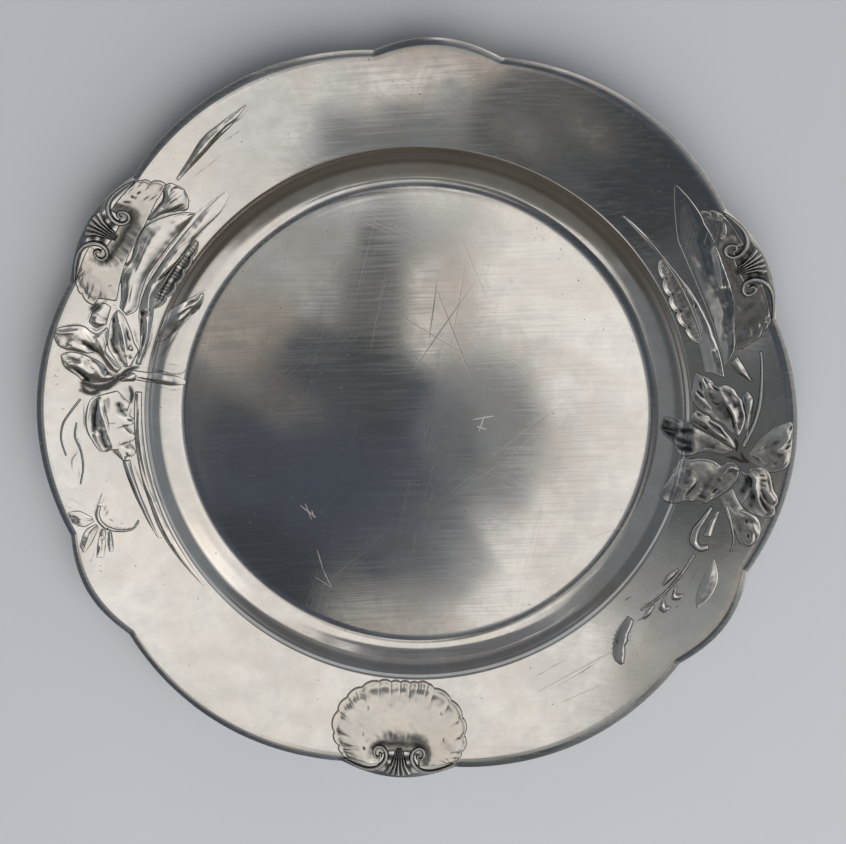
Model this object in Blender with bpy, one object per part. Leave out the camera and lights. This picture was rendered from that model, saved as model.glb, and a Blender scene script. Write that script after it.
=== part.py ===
"""Pewter charger: a lobed, wide-rimmed plate with shells, scrolls and plant sprays in relief on its rim.

Metres, +Z up. The origin is the middle of the foot's resting plane, and -Y is the lobe of the whole shell.
Angles are degrees from +X, counter-clockwise seen from above.

The relief is drawn on a flat sheet whose two coordinates are the angle round the rim and the share across it:
0 at the well's edge, 1 at the outline and -1 at the foot of the well's wall. Each relief piece is then laid on
the metal through those two numbers, so it follows the rim whatever the plate's sizes are.
"""

import math

import bmesh
import bpy
import numpy as np
from mathutils import Vector

# Outline of the plate
CREST_RADIUS = 0.160
CUSP_DEPTH = 0.0041
LOBE_PAIRS = 6
SMALL_LOBE_HALF_ANGLE = 9.4
WIDE_LOBE_FULLNESS = 0.9

# Section of the plate
WELL_EDGE_RADIUS = 0.1166
WALL_RUN = 0.0157
WELL_DEPTH = 0.00745
RIM_RISE = 0.0094
METAL_THICKNESS = 0.0022
LIP_WIDTH = 0.0011
LIP_RISE = 0.00035
FOOT_HEIGHT = 0.0006
FOOT_WIDTH = 0.006

# The well's wall from its foot to its edge: share across, and share of the well's depth
WALL_SHAPE = [
    (-1.00, 0.00),
    (-0.74, 0.05),
    (-0.52, 0.19),
    (-0.40, 0.33),
    (-0.28, 0.55),
    (-0.21, 0.61),
    (-0.04, 0.95),
    (0.00, 1.00),
]

# Relief: a cast piece lies this far over the plate, which is its film of solder
SOLDER_GAP = 0.0003
RELIEF_EDGE = 0.0005
SHELL_CROWN = 0.0016
SHELL_FLUTES = 11
SHELL_FLUTE_DEPTH = 0.0003
SCROLL_CROWN = 0.0017
PALMETTE_CROWN = 0.0018
PALMETTE_FLUTES = 5
LEAF_CROWN = 0.0011
BLADE_CROWN = 0.0007
STEM_CROWN = 0.0005
POD_CROWN = 0.0009
INSECT_CROWN = 0.0006

# On the drawing, one degree along the rim is this share of the rim's width
DEGREE = 0.056
TIP_CUT = 0.05

# Facets
SMALL_LOBE_STEPS = 6
WIDE_LOBE_STEPS = 12

METAL_COLOUR = (0.60, 0.59, 0.57)
METAL_ROUGHNESS = 0.28
RELIEF_SHADE = 0.92


def clear_scene():
    for thing in list(bpy.data.objects):
        bpy.data.objects.remove(thing, do_unlink=True)


def pewter(name, shade=1.0):
    """The alloy's own material for one piece."""
    material = bpy.data.materials.new(name)
    material.use_nodes = True
    shader = material.node_tree.nodes["Principled BSDF"]
    colour = [part * shade for part in METAL_COLOUR]
    shader.inputs["Base Color"].default_value = (*colour, 1.0)
    shader.inputs["Metallic"].default_value = 1.0
    shader.inputs["Roughness"].default_value = METAL_ROUGHNESS
    material.diffuse_color = (*colour, 1.0)
    return material


def finished(name, bm, shade=RELIEF_SHADE):
    """Links the piece made in bm, with its faces outwards and its round parts smooth."""
    bmesh.ops.recalc_face_normals(bm, faces=bm.faces)
    if bm.calc_volume(signed=True) < 0:
        bmesh.ops.reverse_faces(bm, faces=bm.faces)
    mesh = bpy.data.meshes.new(name)
    bm.to_mesh(mesh)
    bm.free()
    mesh.materials.append(pewter(name, shade))
    mesh.shade_smooth()
    mesh.set_sharp_from_angle(angle=math.radians(40))
    piece = bpy.data.objects.new(name, mesh)
    bpy.context.scene.collection.objects.link(piece)
    return piece


def outline_radius(angle):
    """Small lobes stand in the middle of each pair's angle, with a wide lobe between each two."""
    pitch = 360.0 / LOBE_PAIRS
    from_small = abs(angle % pitch - pitch / 2)
    if from_small <= SMALL_LOBE_HALF_ANGLE:
        swell = math.cos(math.pi / 2 * from_small / SMALL_LOBE_HALF_ANGLE)
    else:
        share = (pitch / 2 - from_small) / (pitch / 2 - SMALL_LOBE_HALF_ANGLE)
        swell = max(math.cos(math.pi / 2 * share), 0.0) ** WIDE_LOBE_FULLNESS
    return CREST_RADIUS - CUSP_DEPTH * (1 - swell)


def floor_height():
    return FOOT_HEIGHT + METAL_THICKNESS


def upper_radius(angle, across):
    if across >= 0:
        return WELL_EDGE_RADIUS + (outline_radius(angle) - WELL_EDGE_RADIUS) * across
    return WELL_EDGE_RADIUS + WALL_RUN * across


def upper_height(across):
    if across >= 0:
        return floor_height() + WELL_DEPTH + RIM_RISE * across
    shares, depths = zip(*WALL_SHAPE)
    return floor_height() + WELL_DEPTH * float(np.interp(across, shares, depths))


def at_angle(radius, angle, height):
    turn = math.radians(angle)
    return Vector((radius * math.cos(turn), radius * math.sin(turn), height))


def upper_point(angle, across):
    return at_angle(upper_radius(angle, across), angle, upper_height(across))


def raised(angle, across, lift):
    """The place at this lift over the plate's upper face, measured square to it."""
    little = 0.02
    inner, outer = upper_point(angle, across - little), upper_point(angle, across + little)
    section = outer - inner
    run = math.hypot(section.x, section.y)
    square = at_angle(-section.z / section.length, angle, run / section.length)
    return upper_point(angle, across) + square * lift


def column_angles():
    """Angles of the plate's facets: each cusp of the outline has one."""
    pitch = 360.0 / LOBE_PAIRS
    small = 2 * SMALL_LOBE_HALF_ANGLE
    angles = []
    for pair in range(LOBE_PAIRS):
        start = pitch / 2 - SMALL_LOBE_HALF_ANGLE + pair * pitch
        angles += [start + small * i / SMALL_LOBE_STEPS for i in range(SMALL_LOBE_STEPS)]
        wide = pitch - small
        angles += [start + small + wide * i / WIDE_LOBE_STEPS for i in range(WIDE_LOBE_STEPS)]
    return angles


def wall_underside():
    """The wall's lower face as (radius, height), from the rim down to the foot, one thickness under the upper."""
    upper = [(WELL_EDGE_RADIUS + WALL_RUN * a, floor_height() + WELL_DEPTH * d) for a, d in WALL_SHAPE]
    lower = []
    for before, here, after in zip(upper, upper[1:], upper[2:]):
        run, rise = after[0] - before[0], after[1] - before[1]
        radius = here[0] + METAL_THICKNESS * rise / math.hypot(run, rise)
        height = here[1] - METAL_THICKNESS * run / math.hypot(run, rise)
        if height > 1.5 * FOOT_HEIGHT:
            lower.append((radius, height))
    return lower[::-1]


def plate_section():
    """Rings from the foot of the wall over the rim and back under to the foot's inside.

    Each is a radius on the circle of the crests, the share of the lobes' swell that it follows, and a height."""
    rim_width = CREST_RADIUS - WELL_EDGE_RADIUS
    edge_height = floor_height() + WELL_DEPTH + RIM_RISE
    rings = [(WELL_EDGE_RADIUS + WALL_RUN * a, 0.0, floor_height() + WELL_DEPTH * d) for a, d in WALL_SHAPE]
    for inset, rise in ((1.0, 0.0), (0.55, LIP_RISE), (0.15, LIP_RISE / 3)):
        share = 1 - inset * LIP_WIDTH / rim_width
        rings.append((WELL_EDGE_RADIUS + rim_width * share, share, upper_height(share) + rise))
    rings.append((CREST_RADIUS, 1.0, edge_height - METAL_THICKNESS * 0.45))
    rings.append((CREST_RADIUS - LIP_WIDTH * 0.4, 1.0, edge_height - METAL_THICKNESS * 0.95))
    drop = METAL_THICKNESS * math.hypot(rim_width, RIM_RISE) / rim_width
    for share in (1 - LIP_WIDTH / rim_width, 0.06):
        rings.append((WELL_EDGE_RADIUS + rim_width * share, share, upper_height(share) - drop))
    rings += [(radius, 0.0, height) for radius, height in wall_underside()]
    foot_radius = WELL_EDGE_RADIUS - WALL_RUN
    rings.append((foot_radius, 0.0, 0.0))
    rings.append((foot_radius - FOOT_WIDTH, 0.0, 0.0))
    rings.append((foot_radius - FOOT_WIDTH - FOOT_HEIGHT, 0.0, FOOT_HEIGHT))
    return rings


def make_plate():
    """One casting, turned on its faces: rings of the section joined, and closed by the floor's two faces."""
    bm = bmesh.new()
    angles = column_angles()
    rings = []
    for radius, follow, height in plate_section():
        ring = []
        for angle in angles:
            swell = (outline_radius(angle) - CREST_RADIUS) * follow
            ring.append(bm.verts.new(at_angle(radius + swell, angle, height)))
        rings.append(ring)
    for ring, following in zip(rings, rings[1:]):
        for i in range(len(ring)):
            bm.faces.new((ring[i - 1], ring[i], following[i], following[i - 1]))
    for ring, height in ((rings[0], floor_height()), (rings[-1], FOOT_HEIGHT)):
        middle = bm.verts.new((0.0, 0.0, height))
        for i in range(len(ring)):
            bm.faces.new((ring[i - 1], ring[i], middle))
    return finished("plate", bm, 1.0)


def curve_through(points, count):
    """Places spaced evenly along a smooth curve through the drawing's hand-set points."""
    points = np.array(points, float)
    spans = np.linalg.norm(np.diff(points * (DEGREE, 1.0), axis=0), axis=1)
    stations = np.concatenate(([0.0], np.cumsum(spans)))
    slopes = np.gradient(points, stations, axis=0) if len(points) > 2 else np.diff(points, axis=0)[[0, 0]] / spans
    places = []
    for at in np.linspace(0.0, stations[-1], count):
        i = min(int(np.searchsorted(stations, at, side="right")) - 1, len(spans) - 1)
        t, span = (at - stations[i]) / spans[i], spans[i]
        start, end = points[i], points[i + 1]
        bend = (2 * t**3 - 3 * t**2 + 1) * start + (3 * t**2 - 2 * t**3) * end
        bend += span * ((t**3 - 2 * t**2 + t) * slopes[i] + (t**3 - t**2) * slopes[i + 1])
        places.append(bend)
    return places


def lay(name, rows, lifts):
    """A closed cast piece: a net of rows laid on the rim, each place at its own lift, with a plain seat under it."""
    bm = bmesh.new()
    top = [[bm.verts.new(raised(a, c, SOLDER_GAP + lift)) for (a, c), lift in zip(row, heights)]
           for row, heights in zip(rows, lifts)]
    seat = [[bm.verts.new(raised(*row[k], SOLDER_GAP)) for k in (0, -1)] for row in rows]
    for i in range(len(rows) - 1):
        for j in range(len(rows[i]) - 1):
            bm.faces.new((top[i][j], top[i][j + 1], top[i + 1][j + 1], top[i + 1][j]))
        bm.faces.new((seat[i][1], seat[i][0], seat[i + 1][0], seat[i + 1][1]))
        bm.faces.new((seat[i][0], top[i][0], top[i + 1][0], seat[i + 1][0]))
        bm.faces.new((top[i][-1], seat[i][1], seat[i + 1][1], top[i + 1][-1]))
    bm.faces.new((*top[0][::-1], *seat[0]))
    bm.faces.new((*top[-1], *seat[-1][::-1]))
    return finished(name, bm)


def crowned(rows, columns, crown, keel, fade):
    """Lifts of a leaf's net: highest along the keel, a share from the first edge, and falling to both ends."""
    lifts = []
    for i in range(rows):
        along = i / (rows - 1)
        swell = math.sin(math.pi * (fade + (1 - 2 * fade) * along))
        row = []
        for j in range(columns):
            share = j / (columns - 1)
            side = share / keel if share < keel else (1 - share) / (1 - keel)
            row.append(RELIEF_EDGE + crown * swell * math.sin(math.pi / 2 * min(side, 1.0)))
        lifts.append(row)
    return lifts


def leaf(name, first, second, crown=None, keel=0.5, rows=9, columns=5, fade=0.12):
    """A leaf or blade between two edges of the drawing, each set from the base to the tip."""
    closed_tip = tuple(first[-1]) == tuple(second[-1])
    count = rows + 1 if closed_tip else rows
    edges = [curve_through(edge, count)[:rows] for edge in (first, second)]
    if closed_tip:
        for edge, whole in zip(edges, (first, second)):
            edge[-1] = curve_through(whole, int(rows / TIP_CUT / 2))[-3]
    net = []
    for one, other in zip(*edges):
        net.append([one + (other - one) * j / (columns - 1) for j in range(columns)])
    return lay(name, net, crowned(rows, columns, LEAF_CROWN if crown is None else crown, keel, fade))


def band(name, line, widths, crown, rows=12, columns=4, fade=0.2):
    """A stem, scroll or tail: a ribbon of the drawing whose half width runs through the given shares."""
    middle = curve_through(line, rows)
    plane = np.array(middle) * (DEGREE, 1.0)
    runs = np.gradient(plane, axis=0)
    sideways = np.stack([-runs[:, 1], runs[:, 0]], axis=1) / np.linalg.norm(runs, axis=1)[:, None]
    halves = np.interp(np.linspace(0, 1, rows), np.linspace(0, 1, len(widths)), widths)
    edges = [(plane + sign * sideways * halves[:, None]) / (DEGREE, 1.0) for sign in (-1, 1)]
    net = []
    for one, other in zip(*edges):
        net.append([one + (other - one) * j / (columns - 1) for j in range(columns)])
    return lay(name, net, crowned(rows, columns, crown, 0.5, fade))


def over_wall(name, stations, crown, columns=5):
    """A leaf that runs over the well's edge and down its wall, set as (across, first angle, second angle)."""
    shares, firsts, seconds = zip(*sorted(stations))
    bends = [share for share, _ in WALL_SHAPE] + [0.08, 0.5 * (0.08 + shares[-1])]
    stops = sorted({share for share in bends if shares[0] < share < shares[-1]} | {shares[0], shares[-1]})
    net, lifts = [], []
    for across in stops:
        first, second = np.interp(across, shares, firsts), np.interp(across, shares, seconds)
        angles = np.linspace(first, second, columns)
        net.append([(angle, across) for angle in angles])
        lifts.append([RELIEF_EDGE + crown * math.sin(math.pi * j / (columns - 1)) for j in range(columns)])
    return lay(name, net, lifts)


def superellipse(turn, centre, half_width, half_height, squareness):
    """A place on a squared ellipse of the drawing; turn 0 is its lowest place, towards the well."""
    power = 2.0 / squareness
    side, down = math.sin(turn), math.cos(turn)
    return (math.copysign(abs(side) ** power, side) * half_width,
            centre - math.copysign(abs(down) ** power, down) * half_height)


def clip_to_cover(inner, outer, cover):
    """Cuts the line from inner to outer short where it passes below the cover line."""
    offsets, limits = zip(*sorted(cover))
    kept = outer
    for share in np.linspace(1.0, 0.0, 61):
        kept = inner + (outer - inner) * share
        if kept[1] >= np.interp(kept[0], offsets, limits):
            break
    return kept


def shell(name, lobe, bay_foot, cover=None, columns=6):
    """A fluted shell that opens round its clasp. Where sprays overlap it, it is cut along the cover line,
    a list of (degrees from the lobe, across)."""
    net, lifts = [], []
    rows = 3 * SHELL_FLUTES + 1
    for i in range(rows):
        along = 2 * i / (rows - 1) - 1
        scallop = abs(math.sin(SHELL_FLUTES / 2 * (along + 1) * math.pi))
        cleft = 1 - scallop
        outer = superellipse(math.radians(144) * along, 0.50, 12.3 - 0.8 * cleft, 0.47 - 0.03 * cleft, 2.6)
        inner = superellipse(math.radians(97) * along, 0.86, 5.4, 0.86 - bay_foot, 2.6)
        inner = np.array((inner[0], min(inner[1], 0.895)))
        outer = np.array((outer[0], min(outer[1], 0.915)))
        if cover is not None:
            outer = clip_to_cover(inner, outer, cover)
        row, heights = [], []
        for j in range(columns):
            share = j / (columns - 1)
            row.append((lobe, 0.0) + inner + (outer - inner) * share)
            dome = SHELL_CROWN * math.sin(math.pi * min(0.25 + 0.75 * share, 1.0))
            flute = SHELL_FLUTE_DEPTH * cleft * share
            heights.append(RELIEF_EDGE + max(dome - flute, 0.0))
        net.append(row)
        lifts.append(heights)
    return lay(name, net, lifts)


def scroll(name, lobe, side):
    """One C of the clasp: an arm along the outline that curls into a volute beside the palmette."""
    arm = [(8.6, 0.945), (6.6, 0.952), (4.7, 0.948), (3.2, 0.915), (2.35, 0.86), (2.15, 0.79)]
    volute = [(2.6, 0.735), (3.45, 0.715), (4.1, 0.745), (4.15, 0.80), (3.6, 0.825)]
    line = [(lobe + side * degrees, across) for degrees, across in arm + volute]
    return band(name, line, (0.008, 0.016, 0.020, 0.019, 0.018, 0.014), SCROLL_CROWN, rows=22, fade=0.3)


def palmette(name, lobe):
    """The clasp's fan: narrow at its foot and fluted, with round ends to its flutes at the outline."""
    heights_across = np.linspace(0.70, 0.95, 6)
    halves = np.interp(heights_across, (0.70, 0.80, 0.88, 0.95), (0.55, 0.95, 1.4, 2.15))
    net, lifts = [], []
    steps = 2 * PALMETTE_FLUTES
    for across, half in zip(heights_across, halves):
        climb = (across - 0.70) / 0.25
        row, heights = [], []
        for j in range(steps + 1):
            share = 2 * j / steps - 1
            row.append((lobe + half * share, across + 0.02 * climb * (1 - share**2)))
            ridge = 1.0 if j % 2 else 0.45
            heights.append(RELIEF_EDGE + PALMETTE_CROWN * ridge * (0.9 - 0.5 * climb) * (1 - 0.5 * share**2))
        net.append(row)
        lifts.append(heights)
    return lay(name, net, lifts)


def pod(name, upper, first, last, foot, seeds, rows_per_seed=4):
    """A split pod along the well's edge: a straight back, and a scalloped belly with a swelling at each seed."""
    net, lifts = [], []
    rows = seeds * rows_per_seed + 1
    for i in range(rows):
        along = i / (rows - 1)
        angle = first + (last - first) * along
        back = float(np.interp(angle, *zip(*sorted(upper))))
        belly = abs(math.sin(math.pi * seeds * along))
        end = math.sin(math.pi * (0.04 + 0.92 * along)) ** 0.5
        low = back - (back - foot) * end * (0.72 + 0.28 * belly)
        net.append([(angle, back + (low - back) * j / 4) for j in range(5)])
        swell = POD_CROWN * (0.45 + 0.55 * belly) * end
        lifts.append([RELIEF_EDGE + swell * math.sin(math.pi * j / 4) for j in range(5)])
    return lay(name, net, lifts)


def make_clasped_shells():
    left_cover = [(-13, 0.72), (-9, 0.685), (-6.5, 0.625), (-4.5, 0.585), (-1, 0.56), (3, 0.545), (7, 0.53),
                  (9.8, 0.52), (10.4, 0.69), (13, 0.72)]
    right_cover = [(-13, 0.53), (-10.5, 0.565), (-8, 0.59), (-4, 0.62), (0, 0.63), (2.5, 0.65), (5, 0.69),
                   (7.5, 0.74), (10, 0.775), (13, 0.79)]
    shell("bottom_shell", 270, 0.61)
    shell("left_shell", 150, 0.63, left_cover)
    shell("right_shell", 30, 0.655, right_cover)
    for place, lobe, sides in (("bottom", 270, ("right", "left")), ("left", 150, ("lower", "upper")),
                               ("right", 30, ("upper", "lower"))):
        scroll(f"{place}_scroll_{sides[0]}", lobe, 1)
        scroll(f"{place}_scroll_{sides[1]}", lobe, -1)
        palmette(f"{place}_palmette", lobe)


def make_left_spray():
    leaf("left_tip_leaf", [(173.0, 0.31), (171.2, 0.45), (170.1, 0.60), (169.8, 0.78), (168.9, 0.93)],
         [(171.4, 0.28), (168.8, 0.42), (166.3, 0.52), (166.0, 0.66), (166.4, 0.80), (167.0, 0.93)])
    leaf("left_curled_leaf", [(174.6, 0.36), (174.8, 0.50), (174.3, 0.66), (172.8, 0.79), (171.2, 0.84)],
         [(173.8, 0.33), (172.2, 0.43), (171.1, 0.56), (170.8, 0.68), (171.2, 0.84)])
    leaf("left_inner_leaf", [(171.6, 0.235), (168.5, 0.34), (165.3, 0.42), (162.5, 0.465), (160.9, 0.49)],
         [(171.2, 0.19), (168.2, 0.155), (165.0, 0.22), (162.5, 0.31), (161.4, 0.40), (160.9, 0.49)])
    leaf("left_calyx", [(164.3, 0.50), (165.3, 0.585), (164.7, 0.66)],
         [(161.2, 0.52), (160.9, 0.60), (162.6, 0.665)], crown=BLADE_CROWN, rows=6)
    leaf("left_long_leaf", [(160.6, 0.435), (157, 0.49), (153, 0.51), (149, 0.525), (145.5, 0.54), (142.5, 0.48),
                            (140, 0.39), (138.6, 0.29)],
         [(161.6, 0.34), (160.5, 0.285), (157, 0.285), (153, 0.29), (150, 0.275), (146, 0.27), (142, 0.275),
          (138.6, 0.285)], rows=14)
    leaf("left_far_leaf", [(144.6, 0.575), (141.5, 0.625), (139, 0.665), (137.1, 0.62), (136.7, 0.52)],
         [(144.4, 0.56), (142.2, 0.52), (140.3, 0.445), (138.9, 0.375), (137.6, 0.42), (136.7, 0.52)])
    leaf("left_long_tip", [(136.2, 0.645), (132.5, 0.685), (128.5, 0.745), (125.5, 0.75), (120, 0.775)],
         [(136.2, 0.622), (131, 0.625), (127, 0.655), (123.5, 0.69), (120, 0.775)], crown=STEM_CROWN)
    leaf("left_root_blade", [(170.4, 0.12), (167, 0.115), (163.5, 0.165), (160.5, 0.235), (156, 0.255), (151, 0.235),
                             (146, 0.225), (139, 0.235), (131.5, 0.225)],
         [(170.4, 0.075), (166, 0.055), (161, 0.085), (157, 0.135), (152, 0.14), (147, 0.12), (141, 0.125),
          (134, 0.13), (131.5, 0.18)], crown=BLADE_CROWN, rows=16)
    pod("left_pod", [(158.6, 0.10), (150, 0.098), (142.4, 0.095)], 158.6, 142.4, 0.018, 5)
    over_wall("left_wall_leaf", [(-0.76, 153.4, 155.4), (-0.6, 152.8, 157.6), (-0.4, 154.6, 162.4),
                                 (-0.2, 156.8, 164.4), (-0.06, 158.6, 165.0)], LEAF_CROWN)
    over_wall("left_wall_tendril", [(-0.92, 171.6, 174.4), (-0.6, 171.9, 175.2), (-0.3, 171.7, 174.6),
                                    (0.0, 171.5, 173.9), (0.15, 171.9, 173.6)], BLADE_CROWN, 4)
    leaf("left_toothed_leaf", [(177.2, 0.47), (179, 0.545), (182, 0.575), (185, 0.545), (187.5, 0.46), (188.8, 0.33),
                               (189.2, 0.25)],
         [(177.0, 0.36), (178.8, 0.26), (181, 0.18), (184, 0.15), (187, 0.16), (189.2, 0.25)], keel=0.4, rows=12)
    leaf("left_bud", [(175.0, 0.29), (176.4, 0.285), (177.9, 0.225)], [(174.9, 0.25), (176.1, 0.19), (177.9, 0.225)],
         crown=BLADE_CROWN, rows=6)
    leaf("left_outer_reed", [(190.2, 0.245), (196, 0.225), (201, 0.20), (207.5, 0.15)],
         [(190.2, 0.18), (198, 0.17), (203, 0.155), (207.5, 0.15)], crown=STEM_CROWN)
    leaf("left_inner_reed", [(176.2, 0.085), (185, 0.095), (195, 0.10), (205, 0.105), (213, 0.08), (221.5, 0.045)],
         [(176.2, 0.03), (185, 0.022), (195, 0.022), (205, 0.022), (213, 0.022), (221.5, 0.045)],
         crown=STEM_CROWN, rows=16, columns=4)
    band("left_tendril_long", [(178.2, 0.60), (180.2, 0.68), (182.2, 0.755), (184.6, 0.79), (187.6, 0.77)],
         (0.010, 0.008, 0.005), STEM_CROWN)
    band("left_tendril_short", [(182.3, 0.635), (184.5, 0.66), (187, 0.625), (190.2, 0.635), (192.8, 0.70)],
         (0.006, 0.008, 0.005), STEM_CROWN)


def make_dragonfly():
    band("dragonfly_body", [(197.4, 0.60), (198.8, 0.655), (200.4, 0.655), (202.0, 0.57), (203.1, 0.45),
                            (203.4, 0.35), (202.4, 0.275)],
         (0.018, 0.026, 0.020, 0.012, 0.010, 0.008), INSECT_CROWN, rows=14)
    wings = [
        ([(198.9, 0.72), (197.2, 0.82), (197.0, 0.92)], [(199.7, 0.72), (199.9, 0.84), (198.8, 0.92)]),
        ([(200.3, 0.715), (200.7, 0.83), (202.8, 0.92)], [(201.0, 0.70), (203.0, 0.80), (204.0, 0.89)]),
        ([(201.4, 0.665), (203.4, 0.73), (205.6, 0.78)], [(201.8, 0.63), (204.2, 0.665), (206.0, 0.72)]),
        ([(202.3, 0.595), (203.8, 0.63), (205.6, 0.645)], [(202.6, 0.575), (204.2, 0.585), (205.8, 0.61)]),
    ]
    for number, (first, second) in enumerate(wings, start=1):
        leaf(f"dragonfly_wing_{number}", first, second, crown=INSECT_CROWN / 2, rows=6, columns=4)


def make_right_spray():
    leaf("right_broad_leaf", [(15.4, 0.41), (16.4, 0.455), (17.5, 0.50), (19.5, 0.54), (22, 0.56), (26, 0.585),
                              (30, 0.60), (32.5, 0.62), (35, 0.65), (37.5, 0.695), (40, 0.735), (44, 0.735),
                              (50, 0.70)],
         [(15.0, 0.375), (18, 0.365), (22, 0.36), (25, 0.325), (30, 0.285), (35, 0.24), (40, 0.225), (45, 0.20),
          (50, 0.18)], keel=0.35, rows=18)
    leaf("right_folded_tip", [(16.0, 0.505), (13.8, 0.555), (11.1, 0.61)], [(14.9, 0.43), (13.2, 0.49), (11.1, 0.61)],
         crown=BLADE_CROWN, rows=6)
    leaf("right_ridge_blade", [(12.6, 0.345), (17, 0.348), (21, 0.34), (25, 0.305), (30, 0.262), (35, 0.222),
                               (40, 0.205), (45, 0.178), (50, 0.145)],
         [(14.3, 0.175), (18, 0.18), (21, 0.185), (25, 0.185), (30, 0.18), (35, 0.18), (40, 0.175), (45, 0.155),
          (50, 0.145)], crown=BLADE_CROWN, keel=0.3, rows=16)
    pod("right_pod", [(38.2, 0.158), (29, 0.158), (20.0, 0.158)], 38.2, 20.0, 0.03, 5)
    band("right_stem", [(0.0, 0.51), (3, 0.57), (6, 0.635), (10, 0.69), (14, 0.722), (17, 0.73)],
         (0.013, 0.013, 0.010, 0.006), STEM_CROWN)
    leaf("right_upper_leaf", [(2.2, 0.462), (5, 0.44), (8, 0.375), (10.5, 0.33), (12.4, 0.26), (13.5, 0.18),
                              (14.0, 0.10)],
         [(1.8, 0.43), (3.8, 0.35), (5.8, 0.25), (7.2, 0.13), (9.6, 0.05), (12, 0.04), (14.0, 0.10)], keel=0.3,
         rows=11)
    leaf("right_middle_leaf", [(0.7, 0.43), (2.7, 0.34), (4.6, 0.24), (5.9, 0.12), (6.2, 0.045)],
         [(0.4, 0.41), (1.8, 0.30), (3.5, 0.17), (4.9, 0.08), (6.2, 0.045)], crown=BLADE_CROWN, rows=7)
    over_wall("right_wall_leaf", [(-0.68, 0.6, 3.0), (-0.4, -0.6, 4.0), (-0.2, -1.0, 4.4), (0.0, -1.2, 4.3),
                                  (0.15, -1.0, 2.9), (0.36, -0.4, 0.5)], LEAF_CROWN)
    leaf("right_small_leaf", [(2.4, 0.50), (4.2, 0.535), (6.8, 0.59), (9.6, 0.59)],
         [(2.6, 0.485), (4.8, 0.495), (7.5, 0.505), (9.6, 0.59)], crown=BLADE_CROWN, rows=6)
    leaf("right_round_leaf", [(-2.6, 0.53), (-3.4, 0.70), (-3.4, 0.84), (-2.2, 0.925), (0.2, 0.95)],
         [(-1.6, 0.55), (0.4, 0.63), (2.8, 0.71), (4.0, 0.80), (3.2, 0.90), (0.6, 0.95)], keel=0.4)
    leaf("right_lobed_leaf", [(-4.2, 0.585), (-3.9, 0.72), (-5.2, 0.80), (-7.2, 0.87), (-9.6, 0.935)],
         [(-4.8, 0.575), (-7.4, 0.60), (-10.0, 0.64), (-10.9, 0.78), (-10.4, 0.93)], keel=0.35)
    leaf("right_lower_leaf", [(-11.3, 0.64), (-11.6, 0.76), (-12.8, 0.86), (-15.2, 0.885), (-16.6, 0.83)],
         [(-12.0, 0.63), (-14.0, 0.68), (-15.6, 0.73), (-16.8, 0.79)], rows=7)
    band("right_curved_stem", [(-11.6, 0.49), (-13.0, 0.55), (-14.8, 0.62), (-16.6, 0.69), (-18.8, 0.73)],
         (0.012, 0.012, 0.008, 0.005), STEM_CROWN)
    over_wall("right_drooping_leaf", [(-0.46, -13.6, -11.6), (-0.3, -14.2, -8.2), (-0.15, -14.3, -5.6),
                                      (0.0, -14.0, -4.6), (0.12, -13.0, -4.1), (0.25, -12.0, -3.9),
                                      (0.36, -9.0, -3.8), (0.46, -4.4, -3.8)], LEAF_CROWN, 6)
    band("right_hook_sprout", [(-12.6, 0.355), (-15.5, 0.325), (-18.4, 0.31), (-20.2, 0.355), (-20.6, 0.43),
                               (-19.8, 0.50)], (0.012, 0.018, 0.024, 0.030, 0.026, 0.020), LEAF_CROWN)
    leaf("right_inner_sprout", [(-12.9, 0.44), (-15.2, 0.45), (-17.8, 0.465)], [(-13.0, 0.425), (-15.6, 0.395),
         (-18.2, 0.40)], crown=STEM_CROWN, rows=6, columns=4)


def make_sprig():
    band("sprig_stem", [(-22.2, 0.40), (-25.5, 0.375), (-29.0, 0.35), (-33.0, 0.325), (-37.0, 0.285)],
         (0.010, 0.010, 0.008, 0.006), STEM_CROWN)
    buds = [
        ([(-26.4, 0.325), (-28.4, 0.31), (-30.4, 0.285)], [(-26.2, 0.31), (-28.2, 0.265), (-30.4, 0.27)]),
        ([(-29.0, 0.39), (-30.2, 0.43), (-29.6, 0.49)], [(-29.8, 0.385), (-31.6, 0.44), (-31.0, 0.485)]),
        ([(-31.8, 0.37), (-33.2, 0.42), (-33.0, 0.475)], [(-32.6, 0.365), (-34.6, 0.41), (-34.6, 0.46)]),
        ([(-34.6, 0.345), (-36.2, 0.375), (-37.8, 0.385)], [(-34.8, 0.33), (-36.6, 0.335), (-38.0, 0.36)]),
    ]
    for number, (first, second) in enumerate(buds, start=1):
        leaf(f"sprig_bud_{number}", first, second, crown=BLADE_CROWN, rows=5, columns=4)
    leaf("long_bud", [(-39.6, 0.315), (-43.0, 0.40), (-45.0, 0.48), (-46.4, 0.56)],
         [(-39.8, 0.24), (-43.5, 0.28), (-46.0, 0.37), (-47.3, 0.48), (-47.0, 0.555)], keel=0.35)
    leaf("faint_leaf", [(-21.4, 0.61), (-24.0, 0.71), (-27.0, 0.72), (-30.2, 0.68)],
         [(-22.0, 0.60), (-25.5, 0.58), (-28.5, 0.60), (-30.2, 0.665)], crown=STEM_CROWN, rows=7)


clear_scene()
make_plate()
make_clasped_shells()
make_left_spray()
make_dragonfly()
make_right_spray()
make_sprig()
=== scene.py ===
# A pewter charger: a turned, lobed plate with cast shells, leaf sprays, an insect and a sprig on its rim.
# Metres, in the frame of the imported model, which every piece is fitted to.
import math

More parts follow.
